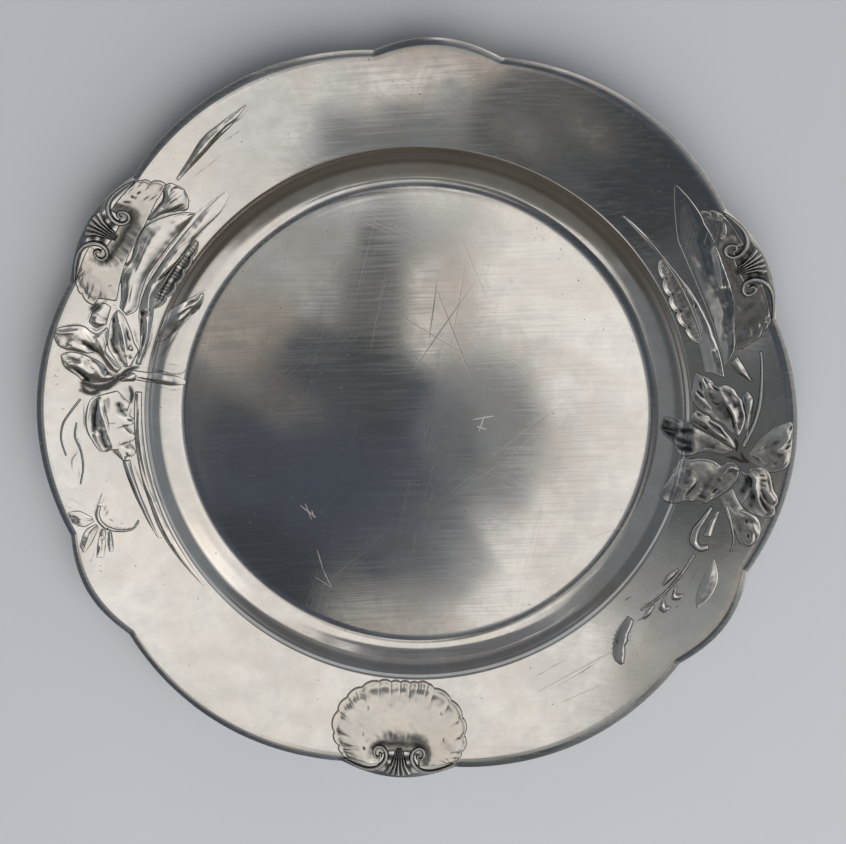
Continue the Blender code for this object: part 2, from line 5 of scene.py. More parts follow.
import bpy
import numpy as np
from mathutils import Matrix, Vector


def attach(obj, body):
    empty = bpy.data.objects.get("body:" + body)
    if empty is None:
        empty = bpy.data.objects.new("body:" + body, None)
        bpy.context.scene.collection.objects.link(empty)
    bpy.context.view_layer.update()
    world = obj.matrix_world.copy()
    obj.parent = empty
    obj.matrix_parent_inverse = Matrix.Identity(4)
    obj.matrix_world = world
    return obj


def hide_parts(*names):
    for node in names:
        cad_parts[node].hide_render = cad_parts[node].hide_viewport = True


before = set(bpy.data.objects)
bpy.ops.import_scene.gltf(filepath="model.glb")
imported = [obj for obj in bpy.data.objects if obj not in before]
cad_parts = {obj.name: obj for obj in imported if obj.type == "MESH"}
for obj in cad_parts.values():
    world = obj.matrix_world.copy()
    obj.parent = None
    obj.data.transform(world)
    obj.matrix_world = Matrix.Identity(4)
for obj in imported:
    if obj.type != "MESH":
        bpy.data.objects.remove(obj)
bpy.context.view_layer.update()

# The plate is one casting of pewter, turned on both faces: a flat floor, a curved wall with a fine ledge, and a broad
# rim that rises to a lobed outline. Its lip is rolled down. The metal is worn to a satin, scratched and pitted, with
# lathe arcs by the wall and grey and brown tarnish; the far side of its wall carries a painted brown reflection.
CREST_RADIUS = 0.160
CUSP_DEPTH = 0.0041
SMALL_LOBE_HALF_ANGLE = 9.4
WIDE_LOBE_FULLNESS = 0.9
WELL_EDGE_RADIUS = 0.1166
WALL_RUN = 0.0157
FLOOR_HEIGHT = 0.0028
WELL_DEPTH = 0.00745
RIM_RISE = 0.0094
RIM_WIDTH = CREST_RADIUS - WELL_EDGE_RADIUS
FOOT_HEIGHT = 0.0006
METAL_THICKNESS = 0.00225
UPPER_FACE_FROM = 0.0025

# Across the rim and wall, and height over the floor as a share of the well's depth
TURNED_SECTION = [
    (-1.60, 0.0), (-1.18, 0.0), (-1.12, 0.001), (-1.07, 0.004), (-1.03, 0.0085), (-0.99, 0.0150), (-0.95, 0.0240),
    (-0.90, 0.039), (-0.85, 0.058), (-0.79, 0.086), (-0.73, 0.119), (-0.67, 0.157), (-0.60, 0.206), (-0.53, 0.256),
    (-0.46, 0.306), (-0.40, 0.351), (-0.36, 0.390), (-0.33, 0.426), (-0.27, 0.517), (-0.215, 0.612),
    (-0.165, 0.702), (-0.135, 0.762), (-0.115, 0.772), (-0.095, 0.815), (-0.04, 0.940), (-0.012, 0.995),
]
# Columns of the mesh in each lobe, closer where relief stands on it: small lobes from 30 degrees on, and the wide
# lobe after each
SMALL_LOBE_COLUMNS = (75, 20, 75, 60, 75, 75)
WIDE_LOBE_COLUMNS = (80, 80, 165, 44, 60, 165)
# Across the lip, and how far it drops below the slope of the rim
ROLLED_LIP = [(-2.0, 0.0), (0.90, 0.0), (0.935, 0.00004), (0.96, 0.00012), (0.98, 0.00021), (0.992, 0.00027),
              (1.0, 0.00031)]
# How far the corners of the section are rounded, and the steps in which it is worked out
SOFTENED = 0.00022
SECTION_STEP = 0.00002


def outline_radius(angle):
    """Small lobes stand at 30 degrees and every 60 on, with a wide lobe between each two."""
    from_small = np.abs(angle % 60 - 30)
    small = np.cos(np.pi / 2 * np.minimum(from_small / SMALL_LOBE_HALF_ANGLE, 1))
    share = np.clip((30 - from_small) / (30 - SMALL_LOBE_HALF_ANGLE), 0, 1)
    wide = np.maximum(np.cos(np.pi / 2 * share), 0) ** WIDE_LOBE_FULLNESS
    swell = np.where(from_small <= SMALL_LOBE_HALF_ANGLE, small, wide)
    return CREST_RADIUS - CUSP_DEPTH * (1 - swell)


def turned_profile():
    """Radii on the circle of the crests and the heights of the upper face there, with its corners softened."""
    radii = np.arange(0.088, 0.1605, SECTION_STEP)
    across = np.where(radii < WELL_EDGE_RADIUS, (radii - WELL_EDGE_RADIUS) / WALL_RUN,
                      (radii - WELL_EDGE_RADIUS) / RIM_WIDTH)
    wall = np.interp(across, *zip(*TURNED_SECTION)) * WELL_DEPTH
    rim = WELL_DEPTH + RIM_RISE * across
    heights = FLOOR_HEIGHT + np.where(across > 0, rim, wall)
    reach = int(3 * SOFTENED / SECTION_STEP)
    weights = np.exp(-0.5 * (np.arange(-reach, reach + 1) * SECTION_STEP / SOFTENED) ** 2)
    padded = np.pad(heights, reach, mode="edge")
    padded[-reach:] = heights[-1] + (heights[-1] - heights[-2]) * np.arange(1, reach + 1)
    return radii, np.convolve(padded, weights / weights.sum(), mode="valid")


PROFILE = turned_profile()


def upper_radius(angle, across):
    run = np.where(across > 0, outline_radius(angle) - WELL_EDGE_RADIUS, WALL_RUN)
    return WELL_EDGE_RADIUS + run * across


def upper_height(angle, across):
    """The face is turned, so its height goes with the radius; only the lip's roll follows the lobes."""
    return np.interp(upper_radius(angle, across), *PROFILE) - np.interp(across, *zip(*ROLLED_LIP))


def turned(radius, angle, height):
    turn = np.radians(angle)
    return np.stack(np.broadcast_arrays(radius * np.cos(turn), radius * np.sin(turn), height), axis=-1)


def hand_waviness(x, y):
    """Heights of the slow waves that turning and use leave in soft metal."""
    waves = [(61, 23, 0.4, 0.9), (-37, 71, 1.9, 0.7), (118, -53, 3.1, 0.42), (47, 139, 4.4, 0.42),
             (-163, 92, 0.9, 0.24), (187, 141, 2.6, 0.2), (-211, -187, 5.2, 0.14)]
    total = sum(size * np.sin(along * x + aside * y + start) for along, aside, start, size in waves)
    return 0.000028 * total


def raised(angle, across, lift):
    """Places at this lift over the plate's upper face, measured square to it."""
    little = 0.012
    low, high = across - little, across + little
    run = upper_radius(angle, high) - upper_radius(angle, low)
    rise = upper_height(angle, high) - upper_height(angle, low)
    length = np.hypot(run, rise)
    radius = upper_radius(angle, across) - lift * rise / length
    place = turned(radius, angle, upper_height(angle, across) + lift * run / length)
    place[..., 2] += hand_waviness(place[..., 0], place[..., 1])
    return place


def column_angles():
    """The angles of the plate's columns: each cusp of the outline has one."""
    angles = []
    for pair in range(6):
        start = 60 * pair + 30 - SMALL_LOBE_HALF_ANGLE
        middle = start + 2 * SMALL_LOBE_HALF_ANGLE
        angles += list(np.linspace(start, middle, SMALL_LOBE_COLUMNS[pair], endpoint=False))
        angles += list(np.linspace(middle, start + 60, WIDE_LOBE_COLUMNS[pair], endpoint=False))
    return np.array(angles)


def make_plate():
    """Rings from the middle of the floor out over the lip and back to the middle of the underside."""
    angles = column_angles()
    floor = np.linspace(0.004, WELL_EDGE_RADIUS - 1.3 * WALL_RUN, 15)
    runs = ((-1.3, -0.2, 44), (-0.2, 0.05, 22), (0.05, 0.91, 73), (0.91, 1.0, 21))
    stops = np.concatenate([np.linspace(*run)[1:] for run in runs])
    rings = [turned(radius, angles, FLOOR_HEIGHT) for radius in floor]
    for across in stops:
        rings.append(turned(upper_radius(angles, across), angles, upper_height(angles, across)))
    for ring in rings:
        ring[:, 2] += hand_waviness(ring[:, 0], ring[:, 1])
    edge = upper_height(angles, 1.0)
    lip = [(0.0, 0.0003), (0.0, 0.0007), (-0.0001, 0.0011), (-0.0003, 0.0014), (-0.0006, 0.0016), (-0.0012, 0.00175)]
    for inset, drop in lip:
        rings.append(turned(upper_radius(angles, 1 + inset / RIM_WIDTH), angles, edge - drop))
    for share in (0.9, 0.7, 0.5, 0.3, 0.06):
        rings.append(turned(upper_radius(angles, share), angles, upper_height(angles, share) - METAL_THICKNESS))
    under = [(0.11743, 0.00823), (0.1160, 0.0070), (0.11467, 0.00562), (0.1135, 0.0050), (0.1116, 0.00347),
             (0.10924, 0.00217), (0.1070, 0.0014), (0.10539, 0.00101), (0.1030, 0.0004), (0.1012, 0.00008),
             (0.1006, 0.0), (0.0952, 0.0), (0.0947, 0.00012), (0.0943, 0.00055), (0.0938, FOOT_HEIGHT),
             (0.05, FOOT_HEIGHT), (0.004, FOOT_HEIGHT)]
    for radius, height in under:
        rings.append(turned(radius, angles, height))
    places = np.concatenate([np.array([[0.0, 0.0, FLOOR_HEIGHT]]), *rings, np.array([[0.0, 0.0, FOOT_HEIGHT]])])
    places[0, 2] = rings[0][:, 2].mean()
    count = len(angles)
    faces = []
    for i in range(count):
        after = (i + 1) % count
        faces.append((0, 1 + i, 1 + after))
        last = 1 + (len(rings) - 1) * count
        faces.append((len(places) - 1, last + after, last + i))
        for k in range(len(rings) - 1):
            inner, outer = 1 + k * count, 1 + (k + 1) * count
            faces.append((inner + i, outer + i, outer + after, inner + after))
    mesh = bpy.data.meshes.new("plate_turned")
    mesh.from_pydata(places.tolist(), [], faces)
    mesh.shade_smooth()
    piece = bpy.data.objects.new("plate_turned", mesh)
    bpy.context.scene.collection.objects.link(piece)
    return piece


def wire(tree, socket, value):
    """Sets a socket, or joins it to the output that is given."""
    if isinstance(value, bpy.types.NodeSocket):
        tree.links.new(value, socket)
    elif value is not None:
        socket.default_value = value


def calc(tree, operation, first, second=None, third=None):
    node = tree.nodes.new("ShaderNodeMath")
    node.operation = operation
    for socket, value in zip(node.inputs, (first, second, third)):
        wire(tree, socket, value)
    return node.outputs[0]


def vector_calc(tree, operation, first, second=None, scale=None):
    node = tree.nodes.new("ShaderNodeVectorMath")
    node.operation = operation
    wire(tree, node.inputs[0], first)
    wire(tree, node.inputs[1], second)
    wire(tree, node.inputs[3], scale)
    return node.outputs[1 if operation in ("LENGTH", "DOT_PRODUCT") else 0]


def between(tree, value, low, high, start=0.0, end=1.0):
    """Start below low, end above high, and a smooth change from one to the other."""
    node = tree.nodes.new("ShaderNodeMapRange")
    node.interpolation_type = "SMOOTHSTEP"
    for name, what in (("Value", value), ("From Min", low), ("From Max", high), ("To Min", start), ("To Max", end)):
        wire(tree, node.inputs[name], what)
    return node.outputs["Result"]


def cloudy(tree, place, scale, detail=3.0, roughness=0.5, distortion=0.0):
    node = tree.nodes.new("ShaderNodeTexNoise")
    node.noise_dimensions = "3D"
    for name, what in (("Vector", place), ("Scale", scale), ("Detail", detail), ("Roughness", roughness),
                       ("Distortion", distortion)):
        wire(tree, node.inputs[name], what)
    return node.outputs["Fac"]


def tint(tree, share, first, second):
    node = tree.nodes.new("ShaderNodeMix")
    node.data_type = "RGBA"
    wire(tree, node.inputs[0], share)
    wire(tree, node.inputs[6], first if isinstance(first, bpy.types.NodeSocket) else (*first, 1.0))
    wire(tree, node.inputs[7], second if isinstance(second, bpy.types.NodeSocket) else (*second, 1.0))
    return node.outputs[2]


def turned_place(tree, place, angle):
    """The place turned about the plate's axis."""
    turn = tree.nodes.new("ShaderNodeVectorRotate")
    turn.rotation_type = "Z_AXIS"
    wire(tree, turn.inputs["Vector"], place)
    wire(tree, turn.inputs["Angle"], angle)
    return turn.outputs[0]


def joined(tree, x, y, z):
    node = tree.nodes.new("ShaderNodeCombineXYZ")
    for socket, value in zip(node.inputs, (x, y, z)):
        wire(tree, socket, value)
    return node.outputs[0]


def new_material(name):
    """A material with its tree, its shader and the places on the piece."""
    material = bpy.data.materials.new(name)
    material.use_nodes = True
    tree = material.node_tree
    return material, tree, tree.nodes["Principled BSDF"], tree.nodes.new("ShaderNodeTexCoord").outputs["Object"]


def mask(tree, name):
    """A value that the mesh carries at its vertices."""
    node = tree.nodes.new("ShaderNodeAttribute")
    node.attribute_name = name
    return node.outputs["Fac"]


def roughen(tree, shader, height, depth):
    bump = tree.nodes.new("ShaderNodeBump")
    bump.inputs["Strength"].default_value = 1.0
    bump.inputs["Distance"].default_value = depth
    wire(tree, bump.inputs["Height"], height)
    wire(tree, shader.inputs["Normal"], bump.outputs[0])


def new_group(name, inputs, outputs):
    """A shader node group with these inputs, as (name, kind, value), and outputs, as (name, kind)."""
    tree = bpy.data.node_groups.new(name, "ShaderNodeTree")
    for title, kind, value in inputs:
        socket = tree.interface.new_socket(title, in_out="INPUT", socket_type=kind)
        if value is not None:
            socket.default_value = value
    for title, kind in outputs:
        tree.interface.new_socket(title, in_out="OUTPUT", socket_type=kind)
    return tree, tree.nodes.new("NodeGroupInput").outputs, tree.nodes.new("NodeGroupOutput").inputs


def use_group(tree, group, **values):
    node = tree.nodes.new("ShaderNodeGroup")
    node.node_tree = group
    for title, value in values.items():
        wire(tree, node.inputs[title], value)
    return node.outputs


def make_tarnish_group():
    """Clouds of tarnish in three sizes, and a fine grain."""
    tree, given, result = new_group("tarnish clouds", [("Place", "NodeSocketVector", None)],
                                    [("Cloud", "NodeSocketFloat"), ("Warmth", "NodeSocketFloat"),
                                     ("Grain", "NodeSocketFloat")])
    wide = cloudy(tree, given["Place"], 22.0, 4.0, 0.55, 0.6)
    small = cloudy(tree, given["Place"], 130.0, 4.0, 0.6, 0.4)
    mixed = calc(tree, "MULTIPLY_ADD", small, 0.45, calc(tree, "MULTIPLY", wide, 0.55))
    wire(tree, result["Cloud"], between(tree, mixed, 0.36, 0.64))
    apart = vector_calc(tree, "ADD", given["Place"], (0.31, -0.17, 0.05))
    wire(tree, result["Warmth"], between(tree, cloudy(tree, apart, 31.0, 5.0, 0.6, 1.0), 0.42, 0.62))
    wire(tree, result["Grain"], cloudy(tree, given["Place"], 1500.0, 2.0, 0.6))
    return tree


def make_brush_group():
    """Fine marks of rubbing, all nearly along one direction: thin across it and long along it."""
    tree, given, result = new_group("brush marks", [
        ("Place", "NodeSocketVector", None), ("Turn", "NodeSocketFloat", 0.0), ("Fineness", "NodeSocketFloat", 900.0),
        ("Length", "NodeSocketFloat", 0.035)], [("Height", "NodeSocketFloat"), ("Streaks", "NodeSocketFloat")])
    sway = cloudy(tree, given["Place"], 14.0, 1.0)
    swayed = calc(tree, "MULTIPLY_ADD", calc(tree, "SUBTRACT", sway, 0.5), 0.10, given["Turn"])
    drawn = vector_calc(tree, "MULTIPLY", turned_place(tree, given["Place"], swayed),
                        joined(tree, given["Length"], 1.0, 1.0))
    fine = cloudy(tree, drawn, given["Fineness"], 2.0, 0.6)
    broad = cloudy(tree, drawn, calc(tree, "MULTIPLY", given["Fineness"], 0.45), 2.0, 0.5)
    wire(tree, result["Height"], calc(tree, "MULTIPLY_ADD", fine, 0.8, calc(tree, "MULTIPLY", broad, 0.3)))
    wire(tree, result["Streaks"], between(tree, broad, 0.40, 0.66))
    return tree


def make_lathe_group():
    """Arcs that the turning tool leaves: even round the plate, and changing quickly with the radius."""
    tree, given, result = new_group("lathe arcs", [
        ("Place", "NodeSocketVector", None), ("Fineness", "NodeSocketFloat", 700.0)],
        [("Height", "NodeSocketFloat"), ("Radius", "NodeSocketFloat")])
    flat = vector_calc(tree, "MULTIPLY", given["Place"], (1.0, 1.0, 0.0))
    radius = vector_calc(tree, "LENGTH", flat)
    parts = tree.nodes.new("ShaderNodeSeparateXYZ")
    wire(tree, parts.inputs[0], vector_calc(tree, "NORMALIZE", flat))
    ring = joined(tree, radius, calc(tree, "MULTIPLY", parts.outputs[0], 0.0016),
                  calc(tree, "MULTIPLY", parts.outputs[1], 0.0016))
    wire(tree, result["Height"], cloudy(tree, ring, given["Fineness"], 3.0, 0.6))
    wire(tree, result["Radius"], radius)
    return tree


def make_scratch_group():
    """Stray scratches of use: thin broken lines in three directions."""
    tree, given, result = new_group("stray scratches", [
        ("Place", "NodeSocketVector", None), ("Share", "NodeSocketFloat", 0.5)], [("Scratches", "NodeSocketFloat")])
    total = None
    for turn, offset, fineness in ((0.35, 0.0, 430.0), (-0.75, 0.4, 380.0), (1.75, 0.9, 340.0)):
        drawn = vector_calc(tree, "MULTIPLY_ADD", turned_place(tree, given["Place"], turn), (0.05, 1.0, 1.0))
        drawn.node.inputs[2].default_value = (offset, offset, 0.0)
        line = cloudy(tree, drawn, fineness, 1.0, 0.4, 0.15)
        peak = calc(tree, "ABSOLUTE", calc(tree, "SUBTRACT", line, 0.5))
        thin = between(tree, peak, 0.0, 0.012, 1.0, 0.0)
        patch = between(tree, cloudy(tree, drawn, fineness * 0.16, 2.0), 0.57, 0.66)
        one = calc(tree, "MULTIPLY", thin, patch)
        total = one if total is None else calc(tree, "MAXIMUM", total, one)
    wire(tree, result["Scratches"], calc(tree, "MULTIPLY", total, given["Share"]))
    return tree


def make_pit_group():
    """Small pits of corrosion, some of them gathered in patches."""
    tree, given, result = new_group("pits", [
        ("Place", "NodeSocketVector", None), ("Spacing", "NodeSocketFloat", 260.0),
        ("Share", "NodeSocketFloat", 0.5)], [("Pits", "NodeSocketFloat")])
    cells = tree.nodes.new("ShaderNodeTexVoronoi")
    wire(tree, cells.inputs["Vector"], given["Place"])
    wire(tree, cells.inputs["Scale"], given["Spacing"])
    parts = tree.nodes.new("ShaderNodeSeparateColor")
    wire(tree, parts.inputs[0], cells.outputs["Color"])
    size = calc(tree, "MULTIPLY", parts.outputs[0], 0.15)
    spot = between(tree, calc(tree, "SUBTRACT", size, cells.outputs["Distance"]), 0.0, 0.05)
    patch = between(tree, cloudy(tree, given["Place"], 60.0, 3.0), 0.46, 0.62, 0.25, 1.0)
    chosen = calc(tree, "LESS_THAN", parts.outputs[1], calc(tree, "MULTIPLY", patch, given["Share"]))
    wire(tree, result["Pits"], calc(tree, "MULTIPLY", spot, chosen))
    return tree


def make_score_group():
    """One straight score in the metal between two places, seen from above."""
    tree, given, result = new_group("score", [
        ("Place", "NodeSocketVector", None), ("Start", "NodeSocketVector", None), ("End", "NodeSocketVector", None),
        ("Width", "NodeSocketFloat", 0.0003)], [("Mark", "NodeSocketFloat")])
    flat = vector_calc(tree, "MULTIPLY", given["Place"], (1.0, 1.0, 0.0))
    away = vector_calc(tree, "SUBTRACT", flat, given["Start"])
    along = vector_calc(tree, "SUBTRACT", given["End"], given["Start"])
    length = vector_calc(tree, "DOT_PRODUCT", along, along)
    share = calc(tree, "DIVIDE", vector_calc(tree, "DOT_PRODUCT", away, along), length)
    inside = calc(tree, "MINIMUM", calc(tree, "MAXIMUM", share, 0.0), 1.0)
    nearest = vector_calc(tree, "SCALE", along, scale=inside)
    distance = vector_calc(tree, "LENGTH", vector_calc(tree, "SUBTRACT", away, nearest))
    taper = calc(tree, "MULTIPLY", given["Width"], calc(tree, "MULTIPLY_ADD", calc(tree, "SINE",
                 calc(tree, "MULTIPLY", inside, math.pi)), 0.7, 0.3))
    wire(tree, result["Mark"], between(tree, calc(tree, "DIVIDE", distance, taper), 0.3, 1.0, 1.0, 0.0))
    return tree


TARNISH = make_tarnish_group()
BRUSH = make_brush_group()
LATHE = make_lathe_group()
SCRATCHES = make_scratch_group()
PITS = make_pit_group()
SCORE = make_score_group()

# Starts and ends of the scores that stand out on the plate, in millimetres, with width and depth of tone
PLATE_SCORES = [
    ((-3, 22), (21, 62), 0.35, 0.9), ((4, 60), (22, 20), 0.3, 0.8), ((12, 30), (17, 72), 0.25, 0.7),
    ((22, 28), (-14, 48), 0.2, 0.5), ((3, 36), (5, 62), 0.5, 0.8), ((26, 56), (12, 84), 0.2, 0.5),
    ((76, -50), (92, -43), 0.25, 0.4), ((60, -118), (96, -94), 0.5, 0.5), ((70, -122), (88, -112), 0.4, 0.4),
]

# Pale marks of knocks on the floor, in the same way
PALE_MARKS = [
    ((-49, -41), (-42, -46), 0.35, 0.9), ((-47, -40), (-44, -47), 0.3, 0.7), ((-44, -43), (-43, -46), 0.4, 0.8),
    ((-41, -61), (-38, -70), 0.22, 0.8), ((-38, -70), (-34, -78), 0.26, 0.9), ((-41, -74), (-34, -78), 0.22, 0.6),
    ((24, 2), (33, 4), 0.3, 0.7), ((29, 4), (27, -3), 0.4, 0.9), ((26, -1), (30, -2), 0.35, 0.6),
    ((46, 82), (49, 83), 0.3, 0.5), ((49, 83), (48, 80), 0.3, 0.5),
]


def struck(tree, place, marks):
    """A mask of marks, each with its start, end and width in millimetres and its strength."""
    total = None
    for start, end, width, strength in marks:
        ends = [(x / 1000, y / 1000, 0.0) for x, y in (start, end)]
        mark = use_group(tree, SCORE, Place=place, Start=ends[0], End=ends[1], Width=width / 1000)["Mark"]
        mark = calc(tree, "MULTIPLY", mark, strength)
        total = mark if total is None else calc(tree, "MAXIMUM", total, mark)
    return total


def plate_metal():
    """Satin pewter for the turned plate: brushed floor, lathe arcs by the wall, tarnish, scores and pits, a painted
    brown reflection on the wall's far side, and grime with painted shade by the ornaments.
    """
    material, tree, shader, place = new_material("turned pewter")
    clouds = use_group(tree, TARNISH, Place=place)
    brush = use_group(tree, BRUSH, Place=place, Turn=-0.10, Fineness=2300.0, Length=0.03)
    rubbed = use_group(tree, BRUSH, Place=place, Turn=0.62, Fineness=800.0, Length=0.06)
    arcs = use_group(tree, LATHE, Place=place, Fineness=850.0)
    scratches = use_group(tree, SCRATCHES, Place=place, Share=0.5)["Scratches"]
    pits = use_group(tree, PITS, Place=place, Spacing=480.0, Share=0.30)["Pits"]
    scores = struck(tree, place, PLATE_SCORES)
    knocks = struck(tree, place, PALE_MARKS)
    radius = arcs["Radius"]
    on_floor = between(tree, radius, 0.086, 0.100, 1.0, 0.0)
    by_wall = calc(tree, "MULTIPLY", between(tree, radius, 0.084, 0.098),
                   between(tree, radius, 0.116, 0.119, 1.0, 0.1))
    metal = tint(tree, clouds["Cloud"], (0.66, 0.645, 0.62), (0.55, 0.545, 0.53))
    metal = tint(tree, calc(tree, "MULTIPLY", clouds["Warmth"], 0.35), metal, (0.56, 0.50, 0.44))
    streaks = calc(tree, "MULTIPLY", brush["Streaks"], on_floor)
    metal = tint(tree, calc(tree, "MULTIPLY", streaks, 0.16), metal, (0.40, 0.40, 0.39))
    metal = tint(tree, calc(tree, "MULTIPLY", clouds["Grain"], 0.12), metal, (0.36, 0.35, 0.33))
    metal = tint(tree, calc(tree, "MULTIPLY", scratches, 0.22), metal, (0.28, 0.26, 0.24))
    metal = tint(tree, calc(tree, "MULTIPLY", scores, 0.6), metal, (0.24, 0.17, 0.13))
    metal = tint(tree, pits, metal, (0.10, 0.085, 0.07))
    parts = tree.nodes.new("ShaderNodeSeparateXYZ")
    wire(tree, parts.inputs[0], place)
    # The upper wall on the far half of the plate is tinted brown: a painted reflection, not tarnish.
    on_wall = calc(tree, "MULTIPLY", between(tree, radius, 0.1075, 0.1130),
                   between(tree, radius, 0.1166, 0.1176, 1.0, 0.0))
    far_wall_reflection = calc(tree, "MULTIPLY", between(tree, parts.outputs[1], -0.05, 0.05), 0.45)
    metal = tint(tree, calc(tree, "MULTIPLY", on_wall, far_wall_reflection), metal, (0.34, 0.28, 0.22))
    # The vertex layer read here darkens the metal nearly black: grime, and painted shade beside and between the
    # ornaments.
    broken = calc(tree, "MULTIPLY_ADD", calc(tree, "SUBTRACT", cloudy(tree, place, 700.0, 4.0, 0.65), 0.5), 0.5,
                  mask(tree, "stain_and_shade"))
    grime_and_shade = between(tree, broken, 0.14, 0.95)
    metal = tint(tree, calc(tree, "MULTIPLY", grime_and_shade, 0.94), metal, (0.034, 0.034, 0.037))
    wire(tree, shader.inputs["Base Color"], metal)
    shader.inputs["Metallic"].default_value = 1.0
    gloss = calc(tree, "MULTIPLY_ADD", clouds["Cloud"], 0.03, 0.050)
    gloss = calc(tree, "MULTIPLY_ADD", brush["Streaks"], 0.035, gloss)
    gloss = calc(tree, "MULTIPLY_ADD", grime_and_shade, 0.25, gloss)
    gloss = calc(tree, "MULTIPLY_ADD", pits, 0.3, gloss)
    gloss = calc(tree, "MULTIPLY_ADD", knocks, 0.45, gloss)
    wire(tree, shader.inputs["Roughness"], gloss)
    height = calc(tree, "MULTIPLY", calc(tree, "MULTIPLY", brush["Height"], on_floor), 0.55)
    height = calc(tree, "MULTIPLY_ADD", calc(tree, "MULTIPLY", arcs["Height"], by_wall), 1.3, height)
    height = calc(tree, "MULTIPLY_ADD", rubbed["Height"], 0.45, height)
    height = calc(tree, "MULTIPLY_ADD", clouds["Grain"], 0.25, height)
    height = calc(tree, "MULTIPLY_ADD", scratches, -0.8, height)
    height = calc(tree, "MULTIPLY_ADD", scores, -2.2, height)
    height = calc(tree, "MULTIPLY_ADD", knocks, -3.0, height)
    height = calc(tree, "MULTIPLY_ADD", pits, -6.0, height)
    roughen(tree, shader, height, 0.000004)
    return material


def add_mask(mesh, name, values):
    """A value from 0 to 1 at each vertex, which the metal's material reads."""
    layer = mesh.attributes.new(name, "FLOAT", "POINT")
    layer.data.foreach_set("value", np.clip(values, 0, 1).astype(np.float32).ravel())


plate = make_plate()
add_mask(plate.data, "stain_and_shade", np.zeros(len(plate.data.vertices)))
plate.data.materials.append(plate_metal())
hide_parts("plate")
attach(plate, "root")

# The three shells are cast with the clasp that holds them to the lip: a low dome whose edge is drawn in to
# scallops with a thin raised border, fluted only near it because the middle is worn smooth.
SHELL_CROWN = 0.0008
SKIRT = [(0.10, 0.62), (0.24, 0.22), (0.42, -0.20)]
SEAT = -0.00035
# How far below or above its surroundings a place lies, in millimetres, when it is darkened fully with grime and
# painted shade, or rubbed bare
DARKENED_BOWL = 0.20
RUBBED_CREST = 0.25
DEGREE = 0.056
# The strokes that the pattern's maker used: width and height in millimetres, and how much they darken the colour.
# Lines and grooves hold grime; hollow, deep, pool and hub darken their hollows with grime and painted shade; shade
# and the two nearly flat strokes at the end are painted shade only.
TOOLS = {
    "line": (0.22, -0.06, 0.60), "groove": (0.34, -0.15, 0.68), "hollow": (0.80, -0.34, 0.34),
    "shade": (1.50, -0.16, 0.20), "pool": (1.30, -0.30, 1.0), "ridge": (0.50, 0.26, 0.0), "bead": (0.26, 0.15, 0.0),
    "swell": (1.10, 0.40, 0.0), "deep": (1.20, -0.48, 0.30), "hub": (0.75, -0.30, 1.1),
    # The last two strokes here are soft washes of painted shade, with hardly any depth.
    "soft_shade": (1.10, -0.06, 0.42), "faint_shade": (1.20, -0.02, 0.30),
}


def path(*numbers):
    """Points of the drawing, from their angles and their shares across in turn."""
    return list(zip(numbers[::2], numbers[1::2]))


def cut(tool, *paths):
    """Strokes of one tool along each of these paths."""
    return [(tool, path(*numbers)) for numbers in paths]


def curve_through(points, shares):
    """Places at these shares of a smooth curve through the drawing's given points."""
    points = np.array(points, float)
    spans = np.linalg.norm(np.diff(points * (DEGREE, 1.0), axis=0), axis=1)
    stations = np.concatenate(([0.0], np.cumsum(spans)))
    slopes = np.gradient(points, stations, axis=0) if len(points) > 2 else np.diff(points, axis=0)[[0, 0]] / spans
    at = np.asarray(shares) * stations[-1]
    i = np.clip(np.searchsorted(stations, at, side="right") - 1, 0, len(spans) - 1)
    span = spans[i][:, None]
    t = ((at - stations[i]) / spans[i])[:, None]
    places = (2 * t**3 - 3 * t**2 + 1) * points[i] + (3 * t**2 - 2 * t**3) * points[i + 1]
    return places + span * ((t**3 - 2 * t**2 + t) * slopes[i] + (t**3 - t**2) * slopes[i + 1])


def plan(net):
    """Places seen from above, in millimetres, of a net of (angle, across)."""
    radius = upper_radius(net[..., 0], net[..., 1]) * 1000
    turn = np.radians(net[..., 0])
    return np.stack([radius * np.cos(turn), radius * np.sin(turn)], axis=-1)


def off_plan(flat):
    """The (angle, across) of places seen from above, in millimetres."""
    angle = np.degrees(np.arctan2(flat[..., 1], flat[..., 0])) % 360
    radius = np.hypot(flat[..., 0], flat[..., 1]) / 1000 - WELL_EDGE_RADIUS
    run = np.where(radius > 0, outline_radius(angle) - WELL_EDGE_RADIUS, WALL_RUN)
    return np.stack([angle, radius / run], axis=-1)


def tooled(flat, strokes):
    """Heights in millimetres, and grime and painted shade, that the strokes, as (tool, points), give to places seen
    from above.
    """
    lift, grime_and_shade = np.zeros(flat.shape[:-1]), np.zeros(flat.shape[:-1])
    for tool, points in strokes:
        width, height, dirt_and_shade = TOOLS[tool]
        count = max(2, min(40, 6 * len(points)))
        line = plan(curve_through(points, np.linspace(0, 1, count)))
        near = np.all((flat > line.min(axis=0) - 4 * width) & (flat < line.max(axis=0) + 4 * width), axis=-1)
        if not near.any():
            continue
        along = line[1:] - line[:-1]
        away = flat[near][:, None] - line[None, :-1]
        share = np.clip((away * along).sum(-1) / np.maximum((along**2).sum(-1), 1e-9), 0, 1)
        gaps = np.linalg.norm(away - share[..., None] * along, axis=-1)
        nearest = gaps.argmin(axis=1)
        each = np.arange(len(gaps))
        station = (nearest + share[each, nearest]) / (count - 1)
        end = min(0.25 + 0.6 * width, 1.0)
        fall = np.exp(-0.5 * (gaps[each, nearest] / width) ** 2)
        fall = fall * np.interp(station, (0, 0.35, 0.65, 1), (end, 1, 1, end))
        lift[near] += height * fall
        grime_and_shade[near] = np.maximum(grime_and_shade[near], dirt_and_shade * fall)
    return lift, grime_and_shade


